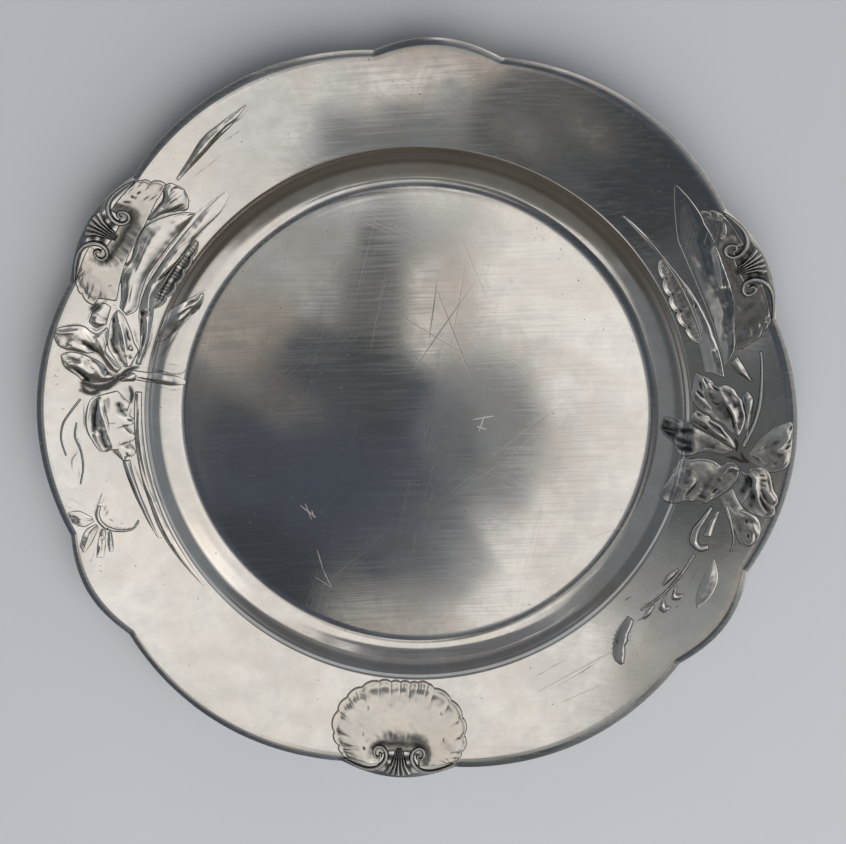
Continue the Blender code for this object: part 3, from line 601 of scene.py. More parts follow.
def soil_and_shade_plate(strokes):
    """The strokes' grime and painted shade on the plate itself, beside and between the ornaments."""
    layer = plate.data.attributes["stain_and_shade"].data
    stain_and_shade = np.zeros(len(layer), np.float32)
    places = np.zeros(3 * len(layer), np.float32)
    layer.foreach_get("value", stain_and_shade)
    plate.data.vertices.foreach_get("co", places)
    places = places.reshape(-1, 3)
    upper = places[:, 2] > UPPER_FACE_FROM
    dirt_and_shade = tooled(places[upper, :2] * 1000.0, strokes)[1]
    stain_and_shade[upper] = np.maximum(stain_and_shade[upper], np.clip(dirt_and_shade, 0, 1))
    layer.foreach_set("value", stain_and_shade)


def turned_to(lobe, strokes):
    """Strokes set from a lobe's middle, carried to the lobe."""
    return [(tool, [(lobe + angle, across) for angle, across in points]) for tool, points in strokes]


def blurred(values, reach_rows, reach_columns):
    """The values of a net smoothed over this many rows and columns, with nothing beyond its edges."""
    for axis, reach in ((0, reach_rows), (1, reach_columns)):
        half = max(int(3 * reach), 1)
        weights = np.exp(-0.5 * (np.arange(-half, half + 1) / max(reach, 0.3))**2)
        padding = [(0, 0), (0, 0)]
        padding[axis] = (half, half)
        padded = np.pad(values, padding)
        spread = [np.take(padded, range(k, k + values.shape[axis]), axis=axis) * w for k, w in enumerate(weights)]
        values = sum(spread) / weights.sum()
    return values


def cast_unevenness(flat):
    """Heights in millimetres of the small dents and swells of hand-finished casting."""
    x, y = flat[..., 0], flat[..., 1]
    waves = [(0.9, 0.5, 0.3, 1.0), (-0.6, 1.3, 1.1, 0.8), (1.9, -1.1, 2.6, 0.5), (-1.4, -2.1, 4.0, 0.45),
             (2.7, 1.7, 5.1, 0.25), (0.8, -3.1, 0.7, 0.22)]
    return 0.020 * sum(size * np.sin(0.6 * (along * x + aside * y) + start) for along, aside, start, size in waves)


def cast_piece(name, net, lifts, metal, slot, strokes=(), grime_and_shade=0.0, bridges=False):
    """A closed cast piece on the rim: a net of rows with its lifts in millimetres, soft sides that run down into the
    plate, and a seat just under the plate's face. Hollows and the foot of the sides take grime and painted shade, and
    crests are rubbed."""
    net = np.array(net, float)
    flat = plan(net)
    added, dirt_and_shade = tooled(flat, strokes)
    low = np.clip(np.array(lifts, float) / 0.4, 0, 1)
    shaped = np.maximum(np.array(lifts, float) + (added + cast_unevenness(flat)) * low, 0.03)
    rows, columns = net.shape[:2]
    loop = [(0, j) for j in range(columns)] + [(i, columns - 1) for i in range(1, rows)]
    loop += [(rows - 1, j) for j in range(columns - 2, -1, -1)] + [(i, 0) for i in range(rows - 2, 0, -1)]
    around = np.array([flat[i, j] for i, j in loop])
    after = np.roll(around, -1, axis=0)
    if (around[:, 0] * after[:, 1] - after[:, 0] * around[:, 1]).sum() < 0:
        return cast_piece(name, net[:, ::-1], np.array(lifts, float)[:, ::-1], metal, slot, strokes,
                          grime_and_shade[:, ::-1] if isinstance(grime_and_shade, np.ndarray) else grime_and_shade, bridges)
    row_step = np.linalg.norm(np.diff(flat, axis=0), axis=-1).mean()
    column_step = np.linalg.norm(np.diff(flat, axis=1), axis=-1).mean()
    # Hollows are darkened by how far they lie below their surroundings: grime with painted shade.
    bowl = blurred(shaped, 0.8 / row_step, 0.8 / column_step) - shaped
    stain_and_shade = np.minimum(np.clip(bowl / DARKENED_BOWL, 0, 1) + grime_and_shade, 0.85)
    stain_and_shade = np.maximum(stain_and_shade, np.minimum(stain_and_shade + dirt_and_shade, 0.95)) * low
    if bridges:
        beside = np.abs(net[..., 1]) * np.where(net[..., 1] > 0, RIM_WIDTH, WALL_RUN) * 1000
        shaped = shaped + 0.42 * np.exp(-(beside / 3.0) ** 2) - 0.46 * np.clip(1 - beside / 2.6, 0, 1) ** 2
    crest = np.clip(-bowl / RUBBED_CREST, 0, 1)
    ahead = after - np.roll(around, 1, axis=0)
    outward = np.stack([ahead[:, 1], -ahead[:, 0]], axis=1)
    outward /= np.maximum(np.linalg.norm(outward, axis=1), 1e-6)[:, None]
    edge_lift = np.array([shaped[i, j] for i, j in loop])
    # The skirt round the foot is darkened where it meets the plate: grime in the seam with a painted contact shade.
    foot_grime_and_shade = np.clip(edge_lift / 0.22, 0, 1)
    places = [raised(net[..., 0], net[..., 1], shaped / 1000).reshape(-1, 3)]
    stain_and_shade_parts, crests = [stain_and_shade.ravel()], [crest.ravel()]
    for run, share in SKIRT:
        ring = off_plan(around + outward * run)
        lift = edge_lift * share if share > 0 else np.full(len(loop), share)
        places.append(raised(ring[:, 0], ring[:, 1], lift / 1000))
        stain_and_shade_parts.append((1.25 - share) * foot_grime_and_shade)
        crests.append(np.zeros(len(loop)))
    places.append(raised(net[..., 0], net[..., 1], SEAT).reshape(-1, 3))
    stain_and_shade_parts.append(np.ones(rows * columns))
    crests.append(np.zeros(rows * columns))
    seat_start = rows * columns + len(SKIRT) * len(loop)
    faces = []
    for i in range(rows - 1):
        for j in range(columns - 1):
            a, b = i * columns + j, (i + 1) * columns + j
            faces.append((a, a + 1, b + 1, b))
            faces.append((seat_start + a, seat_start + b, seat_start + b + 1, seat_start + a + 1))
    rings = [[i * columns + j for i, j in loop]]
    for k in range(len(SKIRT)):
        start = rows * columns + k * len(loop)
        rings.append(list(range(start, start + len(loop))))
    rings.append([seat_start + i * columns + j for i, j in loop])
    for upper, lower in zip(rings, rings[1:]):
        for k in range(len(loop)):
            after_k = (k + 1) % len(loop)
            faces.append((lower[k], lower[after_k], upper[after_k], upper[k]))
    mesh = bpy.data.meshes.new(name + "_cast")
    mesh.from_pydata(np.concatenate(places).tolist(), [], faces)
    mesh.shade_smooth()
    add_mask(mesh, "stain_and_shade", np.concatenate(stain_and_shade_parts))
    add_mask(mesh, "crest", np.concatenate(crests))
    piece = bpy.data.objects.new(name + "_cast", mesh)
    bpy.context.scene.collection.objects.link(piece)
    mesh.materials.append(metal)
    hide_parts(name)
    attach(piece, "root")
    return piece


def cast_metal(name, light, dark, grime_and_shade_colour, gloss):
    """Cast pewter: grime and painted shade in the hollows, rubbed crests, tarnish clouds and the grain of the mould.
    """
    material, tree, shader, place = new_material(name)
    crest = mask(tree, "crest")
    clouds = use_group(tree, TARNISH, Place=place)
    rubbed = use_group(tree, BRUSH, Place=place, Turn=0.62, Fineness=900.0, Length=0.08)
    pits = use_group(tree, PITS, Place=place, Spacing=420.0, Share=0.3)["Pits"]
    scratches = use_group(tree, SCRATCHES, Place=place, Share=0.6)["Scratches"]
    # The vertex layer read here darkens hollows, feet and strokes: grime with painted shade.
    broken = calc(tree, "MULTIPLY_ADD", calc(tree, "SUBTRACT", cloudy(tree, place, 800.0, 4.0, 0.65), 0.5), 0.55,
                  mask(tree, "stain_and_shade"))
    rubbed_off = calc(tree, "MULTIPLY_ADD", crest, -0.85, 1.0)
    grime_and_shade = calc(tree, "MULTIPLY", between(tree, broken, 0.12, 1.0), rubbed_off)
    metal = tint(tree, clouds["Cloud"], light, dark)
    metal = tint(tree, calc(tree, "MULTIPLY", clouds["Warmth"], 0.3), metal, (0.55, 0.49, 0.43))
    metal = tint(tree, calc(tree, "MULTIPLY", crest, 0.5), metal, (0.72, 0.70, 0.67))
    metal = tint(tree, calc(tree, "MULTIPLY", scratches, 0.35), metal, (0.28, 0.26, 0.24))
    metal = tint(tree, pits, metal, (0.12, 0.10, 0.08))
    metal = tint(tree, grime_and_shade, metal, grime_and_shade_colour)
    wire(tree, shader.inputs["Base Color"], metal)
    shader.inputs["Metallic"].default_value = 1.0
    sheen = calc(tree, "MULTIPLY_ADD", clouds["Cloud"], 0.05, gloss)
    sheen = calc(tree, "MULTIPLY_ADD", grime_and_shade, 0.25, sheen)
    wire(tree, shader.inputs["Roughness"], sheen)
    height = calc(tree, "MULTIPLY_ADD", rubbed["Height"], 0.5, calc(tree, "MULTIPLY", clouds["Grain"], 0.5))
    height = calc(tree, "MULTIPLY_ADD", scratches, -1.5, height)
    height = calc(tree, "MULTIPLY_ADD", pits, -5.0, height)
    roughen(tree, shader, height, 0.000006)
    return material


def clip_to_cover(inner, outer, cover):
    """Cuts the line from inner to outer short where it passes below the cover line."""
    offsets, limits = zip(*sorted(cover))
    shares = np.linspace(1.0, 0.0, 121)[:, None]
    line = inner + (outer - inner) * shares
    clear = line[:, 1] >= np.interp(line[:, 0], offsets, limits)
    return line[clear.argmax()] if clear.any() else inner


# Where two scallops of a shell's edge meet, in degrees from its lobe's middle and across
CUSPS = path(-8.9, .935, -9.8, .9, -10.4, .82, -11.8, .68, -12.1, .45, -11.1, .29, -8.5, .145, -5.2, .05,
    -2.6, .04, -.6, .035, 1.6, .04, 3.2, .035, 5.4, .045, 6.5, .1, 9.9, .25, 11.6, .44, 11.5, .64, 10.6, .83,
    9.9, .9, 8.9, .935)


def scalloped_edge(rows):
    """The shell's edge through its cusps, each scallop bowed outwards, and how near each place is to a cusp."""
    places, cusp_shares = [], []
    cusps = np.array(CUSPS)
    each = rows // (len(cusps) - 1)
    for start, end in zip(cusps, cusps[1:]):
        t = np.linspace(0, 1, each, endpoint=False)[:, None]
        chord = (end - start) * (DEGREE, 1.0)
        outward = np.array([chord[1], -chord[0]]) / np.linalg.norm(chord)
        bow = 0.17 * np.linalg.norm(chord) * np.sin(np.pi * t) ** 0.75
        places.append(start + (end - start) * t + outward * bow / (DEGREE, 1.0))
        cusp_shares.append(1 - np.sin(np.pi * t[:, 0]) ** 0.7)
    return np.concatenate(places), np.concatenate(cusp_shares)


def shell(name, lobe, crown, cover=None, strokes=()):
    """A shell that opens round its clasp, and is cut along the cover line where sprays lie over it."""
    columns = 36
    outer, cleft = scalloped_edge(266)
    outer[:, 1] = np.minimum(outer[:, 1], 0.935)
    along = np.linspace(-1, 1, len(outer))
    turn = np.radians(97) * along
    inner = np.stack([np.sign(turn) * np.abs(np.sin(turn)) ** 0.77 * 3.3,
                      0.86 - np.sign(np.cos(turn)) * np.abs(np.cos(turn)) ** 0.77 * 0.13], axis=-1)
    inner[:, 1] = np.minimum(inner[:, 1], 0.895)
    kept = outer.copy()
    if cover is not None:
        kept = np.array([clip_to_cover(a, b, cover) for a, b in zip(inner, outer)])
    whole = np.linalg.norm((outer - inner) * (DEGREE, 1), axis=1)
    part = np.linalg.norm((kept - inner) * (DEGREE, 1), axis=1) / np.maximum(whole, 1e-6)
    t = np.linspace(0, 1, columns) ** 0.9
    net = (lobe, 0.0) + inner[:, None] + (kept - inner)[:, None] * t[None, :, None]
    share = t[None] * part[:, None]
    size = crown * 1000
    dome = size * np.sin(np.pi * np.minimum(0.25 + 0.75 * share, 1.0)) ** 0.8 * 0.75
    rise = np.sin(np.pi / 2 * np.clip(share / 0.30, 0, 1)) ** 2
    dome = np.maximum(dome, 0) * rise ** 1.5 + 0.28
    near_edge = np.clip((share - 0.70) / 0.30, 0, 1)
    flute = -0.24 * (cleft[:, None] ** 2.0) * near_edge * (1 - 0.4 * near_edge)
    border = 0.16 * np.exp(-0.5 * ((1 - share) / 0.035) ** 2) - 0.10 * np.exp(-0.5 * ((0.90 - share) / 0.035) ** 2)
    # Darker towards the clasp's foot: grime with painted shade round the raised clasp.
    hollow = 0.62 * np.exp(-(share / 0.20) ** 2) * np.clip(0.55 + np.cos(turn), 0, 1)[:, None]
    worn = 0.12 * np.exp(-((share - 0.45) / 0.3) ** 2) * np.clip(np.cos(turn), 0, 1)[:, None]
    return cast_piece(name, net, dome + (flute + border) * min(1.0, 0.25 + size), shell_metal, "shell_pewter",
                      strokes, hollow + worn)


shell_metal = cast_metal("shell pewter", (0.555, 0.53, 0.49), (0.49, 0.47, 0.435), (0.055, 0.052, 0.050), 0.11)
LEFT_COVER = path(-13, .7, -9, .665, -6.5, .605, -4.5, .565, -1, .54, 3, .525, 7, .51, 9.8, .5, 10.4, .67,
    13, .7)
RIGHT_COVER = path(-13, .51, -10.5, .545, -8, .57, -4, .6, 0, .61, 2.5, .63, 5, .67, 7.5, .72, 10, .755,
    13, .77)
# Short hatch and folds at the edge, old dents, and soft patches of painted shade
SHELL_STROKES = turned_to(270, [
    *cut("line", (4.6, .11, 4.4, .05), (3.9, .12, 3.8, .05), (3.4, .12, 3.3, .05), (.3, .11, .2, .05),
        (-.4, .11, -.4, .06), (-8, .2, -8.5, .17), (-8.2, .24, -8.9, .19), (-8.8, .27, -9.6, .21), (-9.2, .31,
        -9.8, .25), (-10, .34, -10.6, .3), (-10.4, .39, -11, .35), (-10.5, .43, -11.3, .38), (-11, .51,
        -11.6, .47), (-7.8, .79, -9.4, .81), (-8.2, .84, -9.6, .87), (8.7, .92, 7.6, .86), (8.2, .93, 7, .88),
        (11.2, .67, 9.9, .68), (11.6, .6, 10.8, .66), (7.9, .7, 7.6, .63), (-6.5, .66, -6.7, .61), (-6.5, .37,
        -6.5, .32)),
    *cut("bead", (3, .16, 2.9, .05), (-.8, .15, -.9, .06), (-8.6, .25, -9.2, .2)),
    *cut("faint_shade", (2.2, .07, .4, .07), (9.6, .83, 8.4, .78, 7.6, .7), (6.5, .93, 5, .9, 4.2, .84)),
    *cut("groove", (-10.8, .69, -11.4, .665), (7.9, .385, 7.5, .375), (-6, .775, -6.3, .77)),
])
# Black grime and painted shade fill the bay behind each clasp, and its foot between the volutes
BAY_STROKES = [
    *cut("soft_shade", (5, .84, 4.7, .72, 3.4, .675, 1.6, .675, 0, .655, -1.6, .675, -3.4, .675, -4.7, .72, -5, .84)),
    *cut("pool", (1.8, .89, 0, .91, -1.8, .89), (1.6, .8, 0, .82, -1.6, .8)),
    *cut("hollow", (3.3, .93, 3, .87, 3.2, .83), (-3.3, .93, -3, .87, -3.2, .83), (8.4, .965, 6, .985, 3, .975),
        (-8.4, .965, -6, .985, -3, .975)),
]
LEFT_SHELL_STROKES = [
    *cut("line", (163.8, .74, 161.7, .749, 160.3, .769, 158.3, .769), (158.6, .93, 157.4, .89), (157.9, .935,
        156.8, .905), (145.6, .85, 145, .83), (142.6, .75, 141.2, .745), (142, .71, 140.4, .7), (141.6, .67,
        140, .665), (143, .9, 141.5, .91), (141, .95, 140.3, .89), (158, .62, 157.4, .58), (160.6, .6,
        159.8, .62)),
    *cut("groove", (144.6, .86, 144, .82), (143.2, .86, 143, .82), (142.4, .835, 141.6, .83)),
]
RIGHT_SHELL_STROKES = [
    *cut("line", (20.8, .93, 19.4, .86, 18.8, .78), (39.4, .86, 38.2, .895)),
    *cut("bead", (21.6, .95, 20.9, .92, 20.9, .86), (38, .89, 36.6, .83, 36, .77)),
]
shell("bottom_shell", 270, SHELL_CROWN, None, SHELL_STROKES + turned_to(270, BAY_STROKES))
shell("left_shell", 150, SHELL_CROWN, LEFT_COVER, LEFT_SHELL_STROKES + turned_to(150, BAY_STROKES))
shell("right_shell", 30, SHELL_CROWN / 5, RIGHT_COVER, RIGHT_SHELL_STROKES + turned_to(30, BAY_STROKES))
for spot in (270, 150, 30):
    soil_and_shade_plate(turned_to(spot, BAY_STROKES))

# Each shell's clasp is two C-scrolls, round in section, whose arms run along the lip and curl in beside a fluted
# palmette. They stand highest of all, so they are rubbed bright, and black grime and painted shade fill between them.
SCROLL_CROWN = 0.0017
PALMETTE_CROWN = 0.0018
clasp_metal = cast_metal("clasp pewter", (0.62, 0.60, 0.57), (0.48, 0.47, 0.45), (0.034, 0.034, 0.036), 0.14)


def band_net(line, widths, rows, columns):
    """A ribbon of the drawing whose half width runs through the given shares."""
    middle = curve_through(line, np.linspace(0, 1, rows))
    plane = middle * (DEGREE, 1.0)
    runs = np.gradient(plane, axis=0)
    sideways = np.stack([-runs[:, 1], runs[:, 0]], axis=1) / np.linalg.norm(runs, axis=1)[:, None]
    halves = np.interp(np.linspace(0, 1, rows), np.linspace(0, 1, len(widths)), widths)
    t = np.linspace(-1, 1, columns)
    return (plane[:, None] + (sideways * halves[:, None])[:, None] * t[None, :, None]) / (DEGREE, 1.0)


def band(name, line, widths, crown, metal, slot, rows=70, columns=13, fade=0.2, edge=0.15, strokes=(),
         soiled=0.0):
    """A stem, scroll or tendril: a half-round ribbon."""
    net = band_net(line, widths, rows, columns)
    along = np.linspace(0, 1, rows)[:, None]
    t = np.linspace(-1, 1, columns)[None]
    swell = np.sin(np.pi * (fade + (1 - 2 * fade) * along))
    lifts = edge + (crown * 1000 + 0.35) * swell * np.sqrt(np.maximum(1 - (0.96 * t) ** 2, 0))
    # Darker towards its sides, where it runs down to the plate: grime with painted shade at its foot.
    dirt_and_shade = (soiled + 0.75 * np.abs(t) ** 3) * np.ones((rows, 1))
    return cast_piece(name, net, lifts, metal, slot, strokes, dirt_and_shade)


def scroll(name, lobe, side):
    arm = path(9, .955, 6.8, .968, 4.9, .962, 3.5, .93, 2.55, .87, 2.15, .8)
    volute = path(2.45, .735, 3.3, .708, 4.1, .73, 4.25, .79, 3.7, .825, 3.15, .8, 3.25, .77)
    line = [(lobe + side * degrees, across) for degrees, across in arm + volute]
    widths = (0.005, 0.009, 0.013, 0.017, 0.020, 0.020, 0.018, 0.015, 0.012)
    return band(name, line, widths, SCROLL_CROWN, clasp_metal, "clasp_pewter", rows=140, fade=0.3, soiled=0.22)


def palmette(name, lobe):
    """The clasp's fan: narrow at its foot, with five round-ended flutes that reach the lip."""
    rows, columns = 60, 81
    climb = np.linspace(0, 1, rows)[:, None]
    t = np.linspace(-1, 1, columns)[None]
    half = np.interp(climb[:, 0], (0, 0.4, 0.72, 1.0), (0.55, 0.95, 1.4, 2.25))[:, None]
    ends = 0.02 * climb * (1 - t**2) + 0.008 * climb**3 * np.abs(np.cos(2.5 * np.pi * t))
    net = np.stack([lobe + half * t, 0.70 + 0.25 * climb + ends], axis=-1)
    ridge = np.abs(np.cos(2.5 * np.pi * t)) ** 1.3
    lifts = 0.2 + PALMETTE_CROWN * 1000 * (0.12 + 0.88 * ridge) * (0.95 - 0.5 * climb) * (1 - 0.45 * t**2)
    lifts = lifts + 0.35 * np.exp(-0.5 * ((climb - 0.33) / 0.05) ** 2)
    # The flutes' valleys and the fan's foot are darkened: grime with painted shade.
    filled = 0.10 + 0.75 * (1 - ridge) ** 1.2 + 0.35 * np.clip(0.22 - climb, 0, 1) / 0.22
    return cast_piece(name, net, lifts, clasp_metal, "clasp_pewter", grime_and_shade=filled * np.ones((rows, columns)))


for spot, lobe, sides in (("bottom", 270, ("right", "left")), ("left", 150, ("lower", "upper")),
                          ("right", 30, ("upper", "lower"))):
    scroll(f"{spot}_scroll_{sides[0]}", lobe, 1)
    scroll(f"{spot}_scroll_{sides[1]}", lobe, -1)
    palmette(f"{spot}_palmette", lobe)

# The left spray is cast foliage: curled and toothed leaves round a root by the well's edge, long blades and a
# split pod running up the rim, reeds running down along the well's edge, and thin tendrils.
LEAF_CROWN = 0.0008
BLADE_CROWN = 0.0007
STEM_CROWN = 0.0005
POD_CROWN = 0.0009
FLAT_CROWN = 0.00045
EDGE_WAVES = 5
spray_metal = cast_metal("spray pewter", (0.67, 0.65, 0.62), (0.57, 0.56, 0.54), (0.036, 0.037, 0.040), 0.11)


def leaf(name, first, second, crown=LEAF_CROWN, keel=0.5, fade=0.12, rib=0.0, bead=0.08, ruffle=0.0, edge=0.28,
         metal=None, slot="spray_pewter", strokes=(), step=0.4, grime_and_shade=0.0, ends=(1.0, 1.0), far_side=1.0,
         bridges=False):
    """A leaf or blade between two edges of the drawing, each set from the base to the tip. Rib is the height of
    its middle rib, bead that of its turned edge, and ruffle that of the waves along its edges. Ends and far_side
    are the shares of its height that it keeps at its base, tip and second edge. One that bridges rounds over the
    well's edge."""
    closed_tip = tuple(first[-1]) == tuple(second[-1])
    outlines = [plan(curve_through(side, np.linspace(0, 1, 30))) for side in (first, second)]
    length = np.linalg.norm(np.diff(outlines[0], axis=0), axis=1).sum()
    width = np.linalg.norm(outlines[0] - outlines[1], axis=1).max()
    rows = int(np.clip(length / step, 18, 150))
    columns = int(np.clip(width / step, 11, 56)) | 1
    along = np.linspace(0, 0.985 if closed_tip else 1.0, rows)
    sides = [curve_through(side, along) for side in (first, second)]
    t = np.linspace(0, 1, columns)
    net = sides[0][:, None] + (sides[1] - sides[0])[:, None] * t[None, :, None]
    s, u = along[:, None], t[None]
    swell = np.sin(np.pi * (fade + (1 - 2 * fade) * s))
    side = np.where(u < keel, u / keel, (1 - u) / (1 - keel))
    lifts = edge + crown * 1000 * swell * np.sin(np.pi / 2 * np.minimum(side, 1.0))
    lifts = lifts + rib * np.exp(-0.5 * ((u - keel) * width / 0.45) ** 2) * np.minimum(4 * (1 - s), 1)
    lifts = lifts + bead * np.exp(-0.5 * ((1 - np.abs(2 * u - 1)) * width / 2 / 0.35) ** 2)
    lifts = lifts + ruffle * (1 + np.sin(2 * np.pi * EDGE_WAVES * s + 3 * u)) * np.abs(2 * u - 1) ** 1.5
    lifts = lifts * np.interp(along, (0.0, 0.3, 0.62, 0.97), (ends[0], 1.0, 1.0, ends[1]))[:, None]
    lifts = lifts * np.interp(t, (0.0, 0.45, 1.0), (1.0, 1.0, far_side))[None]
    return cast_piece(name, net, lifts, metal or spray_metal, slot, strokes, grime_and_shade, bridges=bridges)


def over_wall(name, stations, crown, strokes=(), **finish):
    """A leaf that runs over the well's edge and down its wall, set as (across, first angle, second angle)."""
    first = [(a, across) for across, a, _ in sorted(stations)]
    second = [(b, across) for across, _, b in sorted(stations)]
    return leaf(name, first, second, crown, strokes=strokes, step=0.35, **finish)


def pod(name, upper, first, last, foot, seeds, strokes=(), cells=0.55):
    """A split pod along the well's edge: a straight back, and a scalloped belly with a bright lip and a grey
    hollow over each seed, hatched across."""
    rows, columns = seeds * 34, 31
    along = np.linspace(0, 1, rows)
    angle = first + (last - first) * along
    back = np.interp(angle, *zip(*sorted(upper)))
    belly = np.abs(np.sin(np.pi * seeds * along))
    end = np.sin(np.pi * (0.04 + 0.92 * along)) ** 0.5
    low = back - (back - foot) * end * (0.70 + 0.32 * belly ** 0.45)
    u = np.linspace(0, 1, columns)[None]
    net = np.stack([np.repeat(angle[:, None], columns, axis=1), back[:, None] + (low - back)[:, None] * u], axis=-1)
    inside = np.clip((0.80 - u) / 0.12, 0, 1) * np.clip(u / 0.12, 0, 1) * belly[:, None] ** 0.35
    border = np.exp(-0.5 * ((0.92 - u) / 0.07) ** 2) + 0.5 * np.exp(-0.5 * (u / 0.08) ** 2)
    hatch = 0.022 * np.sin(np.pi * 9.0 * seeds * along)[:, None] * inside
    lifts = 0.3 + POD_CROWN * 1000 * (0.60 * border * end[:, None] + 0.30 * end[:, None] - 0.22 * inside) + hatch
    # Each seed's hollow and the pinches between seeds are darkened: grime with painted shade.
    dirt_and_shade = cells * inside * (1 + 0.25 * np.sin(np.pi * 9.0 * seeds * along)[:, None])
    dirt_and_shade = dirt_and_shade + 0.9 * (1 - belly[:, None]) ** 5 * np.exp(-0.5 * ((0.80 - u) / 0.10) ** 2)
    return cast_piece(name, net, lifts, spray_metal, "spray_pewter", strokes, grime_and_shade=dirt_and_shade)


